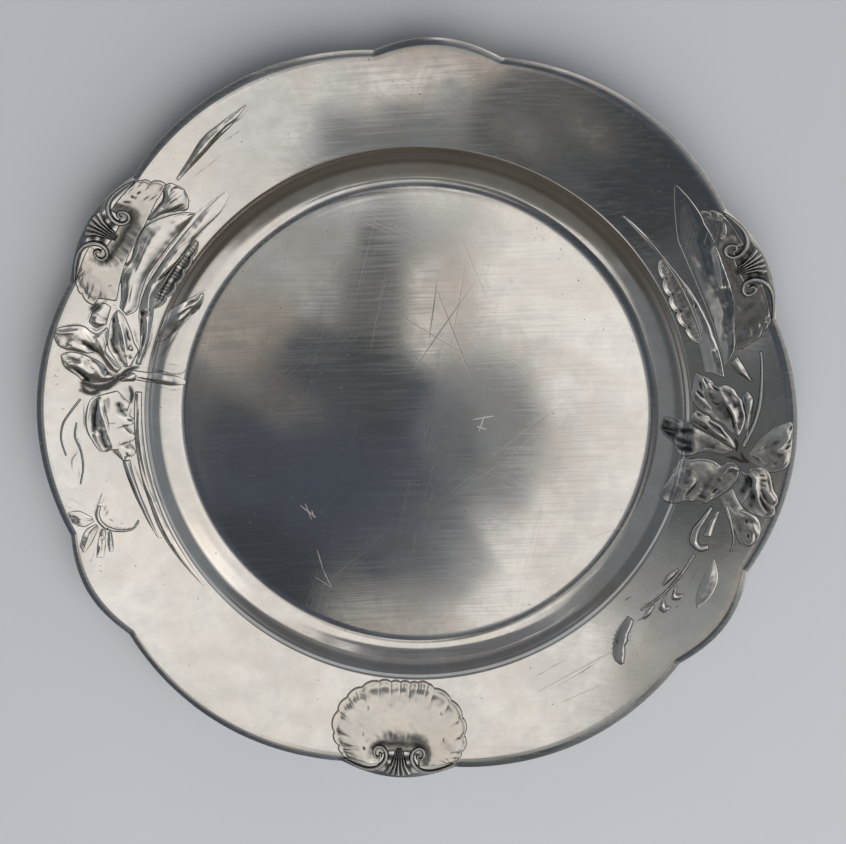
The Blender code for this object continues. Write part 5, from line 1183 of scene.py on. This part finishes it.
# The right spray is heavier: a cluster of ruffled, folded leaves round a hollow by the lip, a blade and a pod
# running up the rim, a leaf drooping over the well's edge, and curled sprouts below.
RIGHT_STROKES = [
    # The hollow at the hub, darkened with grime and painted shade
    *cut("hub", (-2.6, .36, -2.5, .44, -2.9, .507, -3, .56), (-1.3, .494, -2.4, .532, -3, .594), (.1, .439,
        -1.2, .456), (1, .425, -.2, .46)),
    *cut("faint_shade", (-2.6, .3, -2.5, .43, -2.9, .53, -3, .62)),
    *cut("soft_shade", (-3.1, .119, -2.6, .229, -2.7, .325)),
    *cut("deep", (-2.1, .52, -2.2, .58, -2.7, .64)),
    *cut("shade", (-2.5, .646, -3.1, .737)),
    # The broad leaf and the folded tip
    *cut("bead", (48, .72, 45, .738, 40, .755, 38, .735, 36.4, .71, 33.4, .69), (28, .62, 26, .612, 24, .602,
        22.4, .578, 20.6, .562, 18.6, .527, 17.2, .502, 16.2, .46, 15.6, .42), (19, .577, 17.4, .567,
        16.2, .558)),
    *cut("line", (40.4, .775, 38.4, .755, 36.6, .725, 33.4, .705), (26.4, .63, 24, .618, 22.2, .594, 20.4, .578,
        19.6, .56), (19.4, .583, 17.4, .575, 16, .565)),
    *cut("soft_shade", (36.6, .665, 34.6, .62, 32.6, .575, 30.4, .53, 28, .51), (35.4, .635, 33.4, .575, 31, .52,
        29, .485)),
    *cut("ridge", (33.2, .62, 31, .577, 28.8, .538), (23.6, .605, 22.2, .58, 20.6, .567), (16.6, .507,
        14.8, .545, 13, .59, 11.8, .612)),
    *cut("shade", (37.6, .7, 35.8, .64, 33.8, .58, 31.4, .53), (14, .52, 14, .46), (22, .5, 20, .46), (37, .6,
        34, .54, 31, .46)),
    *cut("swell", (34, .645, 31.2, .61, 28.6, .59)),
    *cut("groove", (19.6, .57, 18.4, .548, 17.4, .52), (11.6, .59, 12.6, .52, 13.6, .44, 14.4, .395)),
    # The ridged blade, with its worn crest
    *cut("ridge", (46.6, .158, 44, .178, 40, .202, 35.6, .212, 32, .238, 28.4, .262, 25.2, .285, 22.6, .318,
        20.4, .333, 17.6, .343, 14.8, .352, 12, .346), (33.6, .205, 30.6, .225, 28.2, .235), (24.6, .285,
        21.6, .308, 18.4, .318)),
    *cut("groove", (47.6, .165, 44, .195, 40, .222, 35.6, .235, 32, .262, 28.4, .285, 25.2, .31, 22.6, .342,
        20, .355), (27.4, .255, 26.8, .235)),
    *cut("bead", (27.6, .225, 26.4, .215, 25.4, .22)),
    *cut("line", (30.8, .235, 31.6, .225), (19.8, .158, 17, .158, 14, .15), (38, .175, 36.4, .155, 35, .135),
        (50, .135, 47.4, .15)),
    *cut("soft_shade", (34, .145, 30, .125, 26, .135, 22, .16)),
    *cut("shade", (34.6, .17, 30, .16, 26, .165), (24.6, .255, 22, .25)),
    # The stem and the small leaf
    *cut("ridge", (16.1, .755, 13.9, .734, 11.4, .707, 8.9, .684, 7.4, .664, 5.8, .632, 4.1, .604, 2.7, .578,
        1.4, .545, .1, .514, -.9, .501), (8.3, .583, 7.1, .569, 5.6, .548, 4.4, .538)),
    *cut("groove", (8.9, .642, 6.3, .605, 4.2, .566, 2.1, .524, .4, .484), (11.4, .726, 8.7, .702, 6.7, .671)),
    *cut("swell", (7.8, .571, 6.5, .559)),
    *cut("bead", (8.5, .49, 9.2, .503, 9.7, .543, 9, .567, 8.6, .585), (8.5, .49, 7.1, .494)),
    *cut("line", (8.9, .51, 7.4, .533)),
    # The upper leaf
    *cut("bead", (13.9, .08, 13.4, .116, 13.1, .162, 12.4, .187, 12, .223, 11.1, .246, 10.7, .272, 10.8, .302,
        11, .332), (11.6, .288, 11, .303), (10.3, .395, 9.3, .418, 8.5, .461, 7.4, .477, 6.2, .493, 5.3, .506,
        3.8, .492, 2.7, .475, 1.8, .464), (12.6, .091, 11.5, .114, 10.3, .136), (12.7, .131, 11.5, .152,
        10.4, .166), (7.6, .146, 7, .174, 6.2, .201)),
    *cut("groove", (11.3, .219, 10.5, .252, 10.1, .288), (12.4, .099, 10.9, .12), (10.4, .069, 9.1, .122),
        (8.5, .481, 6.7, .503, 5.3, .52, 3.5, .502), (6.9, .344, 5.1, .389, 3, .409)),
    *cut("ridge", (10.2, .289, 8.9, .312, 7.5, .354, 6.2, .389, 4.7, .417, 3.4, .427, 2, .445), (10, .048,
        8.9, .092, 7.6, .146)),
    *cut("swell", (7.3, .373, 5.8, .408, 4.5, .426)),
    *cut("soft_shade", (7.5, .458, 6, .474, 4.5, .473, 3.1, .456), (10, .326, 9.4, .371, 8.2, .394, 7.1, .419),
        (9, .026, 7.7, .061, 6.8, .117)),
    *cut("line", (12.9, .151, 11.6, .172), (8, .204, 7.6, .251, 7.7, .279)),
    *cut("shade", (9.4, .19, 7.4, .26, 5, .332)),
    # The middle leaf and the leaf on the wall
    *cut("bead", (6.2, .059, 5.8, .087, 5.2, .125, 5.1, .163, 4.4, .182, 4, .22, 3.6, .258, 3, .297, 2.2, .327,
        1.3, .368, .6, .399, -.3, .422), (5.1, .011, 6, .021, 6.4, .04), (3.8, -.622, 3.3, -.341, 2.7, -.061),
        (1.3, -.659, 1.1, -.504, 1, -.352), (1, -.2, .3, -.042), (-1.8, -.14, -1, -.026), (-3.2, -.066,
        -3, .022, -2.5, .057, -2.1, .111, -1.5, .165, -1.4, .212, -1.7, .261, -1.9, .31, -1.6, .365)),
    *cut("groove", (4, .173, 3.3, .221, 2.6, .279, 1.6, .32, .7, .361), (5.6, .059, 5.4, .097), (-3.7, -.185,
        -3.7, .026, -2.9, .117)),
    *cut("ridge", (4.9, .049, 4.1, .126, 3, .184, 2.1, .243, 1.4, .302, .7, .352)),
    *cut("swell", (2.2, .214, 1.5, .282)),
    *cut("soft_shade", (4, -.068, 3.5, .06, 2.7, .138), (2, -.715, 1.5, -.533, 1.5, -.33), (.5, -.601, .3, -.395),
        (1.7, -.155, 2.1, .016), (-.4, -.211, -.7, .008), (-2.2, -.236, -2, .015), (3.7, -.647, 2.6, -.566)),
    *cut("shade", (1, .209, .2, .307), (.2, .099, -.8, .217)),
    *cut("line", (4.2, -.648, 3.7, -.368, 3.4, -.015, 2.6, .09), (-2.5, .114, -3, .165), (-.2, -.544,
        -.9, -.383, -2.5, -.282, -3.9, -.181)),
    # The drooping leaf
    *cut("bead", (-4.7, -.114, -4.4, .032, -3.8, .124, -3.7, .2, -3.9, .259, -4.4, .312, -4.5, .352),
        (-6.1, -.031, -7.7, .005), (-6.5, -.021, -6.1, .028), (-9.9, -.026, -10.8, .013), (-13.5, -.428,
        -12.1, -.373)),
    *cut("swell", (-5.4, .371, -4.4, .398, -4, .442), (-4.2, .396, -4.2, .453)),
    *cut("ridge", (-6.5, .354, -5.2, .387, -4.1, .414), (-4.3, .474, -4.5, .514, -4.9, .566, -5.2, .619),
        (-8.3, .11, -9.4, .095, -10.2, .075), (-9.9, .193, -10.7, .174, -11.5, .155, -12.1, .155), (-10.2, .319,
        -11.2, .303, -11.9, .286)),
    *cut("soft_shade", (-11.2, .201, -11.3, .254), (-7.1, .264, -8.8, .237, -10.2, .226), (-5.4, .486, -6.7, .513)),
    *cut("groove", (-8.5, .143, -10.5, .1, -12, .071), (-8.7, .345, -10.1, .316), (-6.7, -.197, -8.8, -.296,
        -11.3, -.348), (-14.6, -.33, -14.7, -.163, -14.3, .004), (-12.6, .143, -13, .097), (-12.4, .171,
        -12.1, .249, -12.2, .301)),
    *cut("shade", (-6.4, .05, -8.7, .036), (-9.3, -.149, -12, -.112), (-7.2, .333, -8.9, .298)),
    # The lobed leaf
    *cut("swell", (-5, .626, -5.7, .682, -6.9, .699), (-4.4, .638, -5.2, .685), (-6.3, .671, -7.5, .719)),
    *cut("bead", (-3.6, .667, -3.6, .724, -4, .766, -4.9, .806, -6.2, .838, -7.2, .874, -7.9, .92), (-8.3, .929,
        -8.7, .936, -9.4, .921, -10.1, .942, -10.8, .951), (-11.3, .853, -11.2, .901, -10.8, .943), (-7.5, .749,
        -8.6, .796, -9.2, .848, -9.5, .894), (-5, .721, -5, .769), (-7.5, .845, -8.3, .899), (-7.3, .647,
        -8.2, .634, -9.2, .621, -10.3, .622)),
    *cut("ridge", (-7.7, .722, -8.8, .751, -9.8, .796, -10.6, .852)),
    *cut("soft_shade", (-7.3, .765, -8.4, .824, -8.9, .872, -8.8, .908), (-8.8, .781, -9.8, .84, -10.3, .902),
        (-6.1, .591, -7.5, .593, -9, .557), (-8.7, .691, -10.1, .707)),
    *cut("line", (-4.7, .708, -4.7, .755), (-5.5, .727, -5.5, .785), (-6.2, .738, -6.5, .79), (-4.7, .774,
        -5.9, .81, -7.2, .84)),
    *cut("shade", (-7.9, .51, -9.5, .487, -11, .534)),
    *cut("groove", (-5, .587, -5.9, .637, -6.9, .651), (-4, .784, -5, .826, -6.6, .868, -7.5, .923),
        (-9.6, .945, -10.5, .955)),
    # The lower leaf
    *cut("ridge", (-11.5, .646, -11.5, .707, -11.8, .763, -12.4, .818), (-13.3, .532, -13.8, .575)),
    *cut("soft_shade", (-12.7, .693, -12.8, .768)),
    *cut("line", (-16, .747, -16.7, .802, -16.6, .865, -15.7, .89, -14.6, .867, -13.8, .815), (-14.6, .752,
        -14.4, .809, -15.3, .845)),
    *cut("bead", (-13.1, .807, -14, .85, -14.1, .885), (-14.8, .84, -15.7, .868), (-11.7, .477, -12.6, .517,
        -13.6, .558, -14.3, .596, -14.7, .649, -15.7, .698)),
    *cut("groove", (-14.9, .792, -15.5, .81), (-14.2, .574, -15.2, .631, -16.3, .694, -16.8, .739),
        (-13.1, .453, -13.9, .512, -15.1, .595, -16.3, .649), (-12.8, .715, -13.3, .727)),
    *cut("shade", (-13.2, .643, -14.7, .711), (-10.4, .463, -11.7, .57)),
    # The round leaf by the lip
    *cut("swell", (.3, .839, 1.2, .89, 2.2, .922)),
    *cut("ridge", (-.4, .872, .1, .924, .4, .955), (1.4, .907, 2.2, .95)),
    *cut("bead", (2.5, .94, 3.2, .955, 4.1, .955), (-3.8, .791, -3.7, .856, -2.9, .914, -2.1, .942, -1.1, .951),
        (6.2, .791, 5, .798, 4.5, .817, 3.7, .79, 3, .745, 3, .708), (-.6, .649, .8, .716)),
    *cut("groove", (-.1, .897, .8, .947), (1.3, .936, 2.1, .955, 3.2, .955), (3.2, .929, 4, .955), (-1.9, .949,
        -.9, .955, .1, .955), (2.8, .763, 3.5, .799, 4.2, .826)),
    *cut("soft_shade", (3.7, .743, 4.4, .78), (-.6, .78, -1, .857)),
    *cut("shade", (-.1, .721, .7, .79), (-1.3, .72, -2.2, .822)),
    *cut("line", (8.8, .773, 7.5, .804)),
    # The sprouts below
    *cut("groove", (-14.3, .301, -15.8, .27, -17.5, .253, -19, .258, -20.4, .284, -21.4, .332, -22, .404,
        -21.7, .479, -21.1, .534), (-18, .354, -18.9, .401, -19.1, .476), (-15.4, .581, -16.6, .635,
        -17.9, .697), (-14.4, .462, -16.9, .513, -19.5, .602)),
    *cut("swell", (-18.2, .327, -19.2, .333, -20, .376, -20.2, .443, -19.9, .502, -19.3, .527)),
    *cut("ridge", (-17.6, .322, -19.1, .328, -19.9, .385, -20.1, .461, -19.3, .518), (-16.5, .644, -17.3, .7,
        -18.4, .731, -19.5, .75)),
    *cut("bead", (-12, .36, -13.6, .348, -15.3, .334, -16.8, .336, -17.9, .34), (-13.2, .426, -14.7, .448,
        -16.4, .468, -17.6, .478, -18.7, .475), (-20.8, .471, -20.3, .527, -19.8, .543)),
    *cut("line", (-12.9, .347, -14.7, .331, -16.3, .323), (-21.6, .406, -21.2, .491, -20.3, .551), (-13.3, .479,
        -14.8, .546, -16.3, .617), (-19, .655, -20.4, .682)),
    *cut("shade", (-18.9, .291, -20.8, .354), (-14.6, .497, -17.7, .569)),
]
worn_metal = cast_metal("worn pewter", (0.62, 0.61, 0.59), (0.53, 0.525, 0.51), (0.036, 0.037, 0.040), 0.055)
# What most of the spray's leaves have in common; the even darkening set for the whole leaf is a painted dark
# reflection of the room
RIGHT_LEAF = {"crown": FLAT_CROWN, "bead": 0.04, "edge": 0.2, "grime_and_shade": 0.33, "strokes": RIGHT_STROKES}
leaf("right_broad_leaf", path(15.4, .41, 16.4, .455, 17.5, .5, 19.5, .54, 22, .57, 26, .6, 30, .615, 32.5, .635,
     35, .67, 37.5, .71, 40, .742, 44, .735, 47.5, .71), path(15, .375, 18, .365, 22, .36, 25, .34, 30, .33,
     35, .36, 40, .44, 44, .56, 47.5, .71), crown=0.00012, keel=0.3, ends=(1.0, 0.03), fade=0.08, bead=0.02,
     edge=0.12, far_side=0.1, grime_and_shade=0.05, metal=worn_metal, strokes=RIGHT_STROKES)
leaf("right_folded_tip", path(16, .505, 13.8, .555, 11.1, .61), path(14.9, .43, 13.2, .49, 11.1, .61),
     crown=BLADE_CROWN, strokes=RIGHT_STROKES)
leaf("right_ridge_blade", path(12.6, .345, 17, .348, 21, .34, 25, .305, 30, .262, 35, .222, 40, .205, 45, .178,
     50, .145), path(14.3, .175, 18, .18, 21, .185, 25, .185, 30, .18, 35, .18, 40, .175, 45, .155, 50, .145),
     crown=0.0003, keel=0.22, ends=(0.8, 0.1), far_side=0.15, edge=0.18, grime_and_shade=0.05, bead=0.05,
     metal=worn_metal, strokes=RIGHT_STROKES)
pod("right_pod", path(38.2, .19, 28.6, .2, 20, .22), 38.2, 20.0, 0.02, 5, RIGHT_STROKES, cells=0.12)
band("right_stem", path(-.3, .507, 1.2, .537, 2.6, .569, 4.3, .604, 6, .632, 7.7, .656, 9.8, .68, 12.1, .704,
     14.5, .731, 16.1, .745), (0.016, 0.015, 0.012, 0.008), STEM_CROWN, spray_metal, "spray_pewter", edge=0.12,
     strokes=RIGHT_STROKES)
leaf("right_upper_leaf", path(1.6, .456, 3.3, .493, 5.3, .515, 6.7, .494, 8.2, .479, 8.8, .454, 10.5, .405,
     11.1, .342, 10.9, .274, 11.3, .238, 12.3, .215, 13.1, .172, 13.7, .118, 14.2, .072), path(1.8, .436,
     2.4, .373, 3.9, .295, 4.6, .22, 5.5, .172, 6.3, .107, 7.9, .033, 9.4, .008, 10.9, .023, 12.7, .052,
     14.2, .072), keel=0.3, **RIGHT_LEAF)
leaf("right_middle_leaf", path(-.5, .433, .6, .404, 1.5, .367, 2.5, .317, 3.3, .287, 4.2, .22, 4.7, .182,
     5.3, .163, 5.7, .106, 6.3, .059, 5.5, .011), path(-.7, .415, 0, .345, 1, .247, 2, .149, 2.9, .061,
     4, .003, 5.5, .011), **RIGHT_LEAF)
# The wall leaf is darkened more over its whole face: a painted dark reflection.
leaf("right_wall_leaf", path(-.9, .407, -.3, .338, .6, .248, 1.6, .15, 2.5, .062, 3.4, -.04, 3.9, -.369,
     3.8, -.673, 1.7, -.739), path(-1.2, .409, -1.8, .366, -2.1, .302, -2, .244, -1.8, .186, -2.3, .113,
     -3.3, .023, -3.7, -.082, -3.1, -.246, -1.5, -.374, -.4, -.541, .4, -.651, 1.7, -.739), crown=FLAT_CROWN,
     bead=0.04, edge=0.2, grime_and_shade=0.48, bridges=True, strokes=RIGHT_STROKES)
leaf("right_small_leaf", path(1.7, .525, 3.7, .516, 6.4, .502, 8.5, .49, 9.7, .543), path(1.7, .535, 4.2, .557,
     6.3, .577, 8.3, .592, 9.7, .543), **RIGHT_LEAF)
# The round leaf is darkened evenly over its face: a painted dark reflection.
leaf("right_round_leaf", path(-1.3, .57, .6, .633, 2.3, .709, 3.5, .799, 4.1, .882, 4.4, .937, 4.1, .955),
     path(-2.6, .609, -3.4, .702, -3.9, .792, -3.6, .865, -3, .924, -2, .951, -.8, .955, .5, .955, 2.3, .955,
     4.1, .955), crown=FLAT_CROWN, bead=0.04, edge=0.15, grime_and_shade=0.25, strokes=RIGHT_STROKES)
leaf("right_lobed_leaf", path(-4.6, .525, -4.8, .585, -4.1, .605, -3.6, .648, -3.4, .703, -3.7, .753,
     -4.3, .793, -5.4, .826, -6.6, .859, -7.8, .923, -8.6, .939, -9.4, .927, -10.4, .955, -11.2, .921),
     path(-4.8, .522, -6.2, .515, -7.7, .498, -9.4, .554, -10.5, .625, -11.1, .698, -11.4, .785, -11.4, .857,
     -11.2, .921), keel=0.35, **RIGHT_LEAF)
leaf("right_lower_leaf", path(-8.2, .485, -9.5, .547, -10.7, .619, -11.3, .693, -11.6, .779, -12.5, .848,
     -13.9, .894, -15.5, .903, -16.7, .868), path(-10.2, .398, -11.6, .46, -13, .524, -14.3, .596, -15.6, .689,
     -16.6, .744, -17, .812, -16.7, .868), **RIGHT_LEAF)
band("right_curved_stem", path(-11.6, .49, -13, .55, -14.8, .62, -16.6, .69, -18.8, .73), (0.012, 0.012, 0.008,
     0.005), STEM_CROWN, spray_metal, "spray_pewter", edge=0.08)
leaf("right_drooping_leaf", path(-4.2, .492, -3.4, .446, -3.5, .39, -4.3, .339, -3.7, .257, -3.5, .198,
     -3.6, .123, -4.2, .031, -4.7, -.139, -6.5, -.202, -8.1, -.29, -9.9, -.342, -11.9, -.381, -14, -.435),
     path(-4.5, .51, -6, .504, -7.8, .46, -9.4, .405, -10.4, .362, -11.3, .316, -12.1, .289, -11.9, .223,
     -12.5, .162, -12.8, .093, -13.9, .017, -14.5, -.171, -14, -.435), bridges=True, **RIGHT_LEAF)
band("right_hook_sprout", path(-12.6, .355, -15.5, .325, -18.4, .31, -20.2, .355, -20.6, .43, -19.8, .5),
     (0.014, 0.022, 0.032, 0.04, 0.036, 0.026), LEAF_CROWN, spray_metal, "spray_pewter", columns=17,
     strokes=cut("ridge", (-13.8, .345, -17.6, .325, -19.2, .35, -19.6, .43, -19.2, .49)))
leaf("right_inner_sprout", path(-12.9, .44, -15.2, .45, -17.8, .465), path(-13, .425, -15.6, .395, -18.2, .4),
     crown=STEM_CROWN, edge=0.12, bead=0.05, strokes=RIGHT_STROKES)
soil_and_shade_plate(RIGHT_STROKES)

# The sprig below the right spray is low and worn: a thin stem with buds along it, one long bud by itself and a
# faint leaf nearer the lip.
SPRIG_STROKES = [
    *cut("line", (-22, .485, -26, .482, -29.2, .49), (-22.4, .38, -24.4, .35), (-26, .3, -28, .262, -30.4, .245,
        -32.4, .265), (-35, .345, -36.4, .32), (-29.8, .51, -32, .52, -33.6, .49), (-39.8, .335, -41.6, .39,
        -43, .44, -44.6, .495), (-44.6, .335, -45, .37), (-23.6, .78, -26, .725, -28.4, .705, -30.4, .685),
        (-29.8, .68, -29.4, .63, -27.6, .59), (-20.6, .68, -22.4, .63, -24.4, .6), (-22.8, .7, -24.8, .65,
        -26.6, .61), (-26.8, .58, -27, .555), (-48, .395, -52, .385, -56, .38, -60, .39), (-54.5, .19, -60, .2,
        -64, .22), (-41.2, .66, -40.8, .62)),
    *cut("groove", (-26.6, .4, -28.6, .362, -30.6, .345, -32.2, .375, -34.6, .41, -35.8, .43), (-32, .3,
        -34.4, .3, -36, .265, -37, .255), (-36.6, .39, -38.2, .36, -39.6, .335), (-36, .13, -37.2, .1,
        -38.2, .105), (-40.6, .225, -43.6, .27, -46, .36, -47.2, .46, -47, .54, -46.4, .57)),
    *cut("ridge", (-29.4, .45, -29.8, .485, -31, .5), (-30.4, .385, -31.2, .425), (-32.8, .45, -34, .47),
        (-26.4, .37, -26.8, .33, -25.8, .315), (-27.8, .285, -29.8, .275, -31.2, .3), (-32.6, .34, -34.2, .35),
        (-36.6, .3, -38, .29), (-40.4, .33, -42.2, .37, -44, .42, -45.2, .49)),
    *cut("swell", (-39.8, .33, -41.8, .375, -43.6, .43, -45, .5, -45.8, .55)),
    *cut("shade", (-42, .27, -45, .34, -46.6, .45)),
]
band("sprig_stem", path(-22.2, .4, -25.5, .375, -29, .35, -33, .325, -37, .285), (0.01, 0.01, 0.008, 0.006),
     STEM_CROWN, spray_metal, "spray_pewter", edge=0.06, strokes=SPRIG_STROKES)
BUDS = [
    (path(-26.4, .325, -28.4, .31, -30.4, .285), path(-26.2, .31, -28.2, .265, -30.4, .27)),
    (path(-29, .39, -30.2, .43, -29.6, .49), path(-29.8, .385, -31.6, .44, -31, .485)),
    (path(-31.8, .37, -33.2, .42, -33, .475), path(-32.6, .365, -34.6, .41, -34.6, .46)),
    (path(-34.6, .345, -36.2, .375, -37.8, .385), path(-34.8, .33, -36.6, .335, -38, .36)),
]
for number, (first, second) in enumerate(BUDS, start=1):
    leaf(f"sprig_bud_{number}", first, second, crown=BLADE_CROWN, edge=0.12, strokes=SPRIG_STROKES)
leaf("long_bud", path(-39.6, .315, -41.4, .36, -42.4, .38, -43.2, .42, -44.2, .44, -45, .49, -46.4, .56),
     path(-39.8, .24, -43.5, .28, -46, .37, -47.3, .48, -47, .555), keel=0.35, edge=0.14, bead=0.05,
     strokes=SPRIG_STROKES)
leaf("faint_leaf", path(-21.4, .61, -24, .71, -27, .72, -30.2, .68), path(-22, .6, -25.5, .58, -28.5, .6,
     -30.2, .665), crown=STEM_CROWN / 2, edge=0.06, bead=0.04, ends=(0.2, 1.0), strokes=SPRIG_STROKES)
soil_and_shade_plate(SPRIG_STROKES)

# The table is a plain pale sheet under the charger, faintly uneven in tone.
TABLE_REACH = 4.0


def make_table():
    mesh = bpy.data.meshes.new("table")
    corners = [(-TABLE_REACH, -TABLE_REACH, 0), (TABLE_REACH, -TABLE_REACH, 0), (TABLE_REACH, TABLE_REACH, 0),
               (-TABLE_REACH, TABLE_REACH, 0)]
    mesh.from_pydata(corners, [], [(0, 1, 2, 3)])
    table = bpy.data.objects.new("table", mesh)
    bpy.context.scene.collection.objects.link(table)
    material, tree, shader, place = new_material("pale table")
    uneven = cloudy(tree, place, 5.0, 3.0)
    wire(tree, shader.inputs["Base Color"], tint(tree, uneven, (0.405, 0.425, 0.460), (0.445, 0.465, 0.495)))
    shader.inputs["Roughness"].default_value = 0.75
    shader.inputs["Specular IOR Level"].default_value = 0.2
    mesh.materials.append(material)


make_table()

# Light: a pale room with broad dark cards overhead, as are used to give metal its depth, a few pale patches
# between them, darker walls, and one large soft lamp in front to the right.
# Each is the middle and reach of a soft oval, by the sideways parts of its direction, where its edge starts and
# ends, how much it covers, and its colour
DARK_CARDS = [
    ((-0.640, -0.180), (0.480, 0.620), 0.78, 1.08, 0.90, (0.150, 0.168, 0.190)),
    ((-0.080, 0.190), (0.260, 0.075), 0.75, 1.15, 0.90, (0.120, 0.140, 0.175)),
    ((0.000, 0.570), (0.750, 0.360), 0.80, 1.08, 0.88, (0.150, 0.155, 0.170)),
    ((0.000, -0.740), (0.800, 0.250), 0.80, 1.10, 0.85, (0.120, 0.112, 0.102)),
    ((-0.030, -0.105), (0.085, 0.036), 0.50, 1.30, 0.72, (0.330, 0.345, 0.345)),
    ((-0.115, -0.135), (0.085, 0.075), 0.50, 1.15, 0.88, (0.44, 0.45, 0.44)),
    ((-0.060, -0.272), (0.110, 0.106), 0.84, 1.06, 0.97, (0.055, 0.072, 0.105)),
    ((-0.030, -0.165), (0.024, 0.085), 0.75, 1.15, 0.90, (0.085, 0.100, 0.105)),
    ((0.052, -0.237), (0.048, 0.060), 0.76, 1.16, 0.84, (0.150, 0.170, 0.190)),
    ((0.020, -0.325), (0.040, 0.036), 0.70, 1.20, 0.80, (0.175, 0.195, 0.220)),
    ((0.018, -0.255), (0.011, 0.065), 0.50, 1.40, 0.55, (0.260, 0.285, 0.310)),
    ((0.010, -0.462), (0.130, 0.040), 0.75, 1.15, 0.90, (0.140, 0.160, 0.178)),
    ((-0.085, -0.402), (0.085, 0.065), 0.82, 1.12, 0.94, (0.066, 0.078, 0.092)),
    ((-0.135, -0.362), (0.090, 0.066), 0.78, 1.14, 0.94, (0.060, 0.072, 0.085)),
    ((-0.205, -0.225), (0.058, 0.110), 0.75, 1.20, 0.92, (0.090, 0.098, 0.105)),
    ((-0.190, -0.115), (0.050, 0.050), 0.50, 1.30, 0.60, (0.330, 0.350, 0.350)),
    ((0.100, -0.400), (0.060, 0.030), 0.40, 1.30, 0.55, (0.720, 0.740, 0.760)),
]
PALE_PATCHES = [
    ((-0.112, -0.172), (0.032, 0.028), 0.70, 1.20, 0.82, (0.480, 0.415, 0.350)),
    ((-0.120, -0.208), (0.030, 0.019), 0.60, 1.25, 0.66, (0.350, 0.315, 0.280)),
    ((-0.080, -0.225), (0.026, 0.013), 0.50, 1.35, 0.60, (0.330, 0.300, 0.270)),
    ((0.006, -0.388), (0.046, 0.026), 0.65, 1.20, 0.90, (0.520, 0.460, 0.400)),
    ((-0.010, -0.405), (0.018, 0.012), 0.50, 1.30, 0.80, (0.760, 0.680, 0.600)),
    ((-0.075, -0.402), (0.018, 0.009), 0.50, 1.30, 0.72, (0.420, 0.360, 0.310)),
    ((-0.052, -0.432), (0.022, 0.008), 0.50, 1.30, 0.66, (0.380, 0.350, 0.310)),
    ((-0.018, -0.357), (0.032, 0.016), 0.60, 1.25, 0.86, (0.580, 0.560, 0.530)),
    ((0.026, -0.150), (0.017, 0.046), 0.50, 1.40, 0.60, (0.480, 0.420, 0.360)),
    ((0.430, 0.100), (0.150, 0.140), 0.30, 1.20, 0.90, (1.650, 1.580, 1.480)),
    ((0.165, -0.170), (0.065, 0.110), 0.50, 1.30, 0.72, (1.240, 1.210, 1.170)),
]


def in_room(tree, parts, centre, reach, low, high, sway):
    """How far inside an oval of the sky a direction is: 1 at its middle and 0 outside."""
    across = calc(tree, "DIVIDE", calc(tree, "SUBTRACT", parts[0], centre[0]), reach[0])
    along = calc(tree, "DIVIDE", calc(tree, "SUBTRACT", parts[1], centre[1]), reach[1])
    squared = calc(tree, "MULTIPLY_ADD", across, across, calc(tree, "MULTIPLY", along, along))
    distance = calc(tree, "ADD", calc(tree, "SQRT", squared), sway)
    return between(tree, distance, low, high, 1.0, 0.0)


def light_room():
    world = bpy.data.worlds.new("room")
    bpy.context.scene.world = world
    world.use_nodes = True
    tree = world.node_tree
    background = tree.nodes["Background"]
    toward = tree.nodes.new("ShaderNodeTexCoord").outputs["Generated"]
    split = tree.nodes.new("ShaderNodeSeparateXYZ")
    wire(tree, split.inputs[0], toward)
    parts = split.outputs
    sway = calc(tree, "MULTIPLY", calc(tree, "SUBTRACT", cloudy(tree, toward, 22.0, 4.0, 0.55), 0.5), 0.45)
    sides = tint(tree, between(tree, parts[0], -0.6, 0.6), (0.17, 0.155, 0.14), (0.27, 0.30, 0.33))
    far = tint(tree, between(tree, parts[1], -0.7, 0.6), (0.12, 0.11, 0.10), (0.150, 0.155, 0.170))
    walls = tint(tree, between(tree, calc(tree, "ABSOLUTE", parts[1]), 0.3, 0.7), sides, far)
    low = tint(tree, between(tree, parts[1], -0.80, -0.30), (0.15, 0.14, 0.13), (0.56, 0.58, 0.61))
    lowered = calc(tree, "MULTIPLY_ADD", between(tree, parts[1], 0.30, 0.60), -0.18, parts[2])
    walls = tint(tree, between(tree, lowered, 0.24, 0.36), low, walls)
    colour = tint(tree, between(tree, parts[2], 0.62, 0.90), walls, (1.14, 1.10, 1.05))
    for centre, reach, low, high, share, shade in DARK_CARDS + PALE_PATCHES:
        card = calc(tree, "MULTIPLY", in_room(tree, parts, centre, reach, low, high, sway), share)
        overhead = calc(tree, "MULTIPLY", card, between(tree, lowered, 0.22, 0.36))
        colour = tint(tree, overhead, colour, shade)
    wire(tree, background.inputs["Color"], colour)
    background.inputs["Strength"].default_value = 1.0


light_room()
LAMP_PLACE = (0.60, -1.10, 1.40)
lamp = bpy.data.lights.new("soft lamp", "AREA")
lamp.shape = "DISK"
lamp.size = 3.2
lamp.energy = 60.0
lamp.color = (1.0, 0.98, 0.95)
lamp_stand = bpy.data.objects.new("soft lamp", lamp)
lamp_stand.visible_glossy = False
lamp_stand.location = LAMP_PLACE
lamp_stand.rotation_euler = Vector(LAMP_PLACE).to_track_quat("Z", "Y").to_euler()
bpy.context.scene.collection.objects.link(lamp_stand)

# The camera looks down on the plate from nearly over its middle.
lens = bpy.data.cameras.new("camera")
lens.sensor_width = 36.0
lens.lens = 61.70
lens.clip_start = 0.01
camera = bpy.data.objects.new("camera", lens)
camera.location = (-0.00199, 0.14609, 0.61170)
camera.rotation_euler = (math.radians(-13.5264), math.radians(0.3293), math.radians(3.1098))
bpy.context.scene.collection.objects.link(camera)
bpy.context.scene.camera = camera
bpy.context.scene.view_settings.view_transform = "Standard"
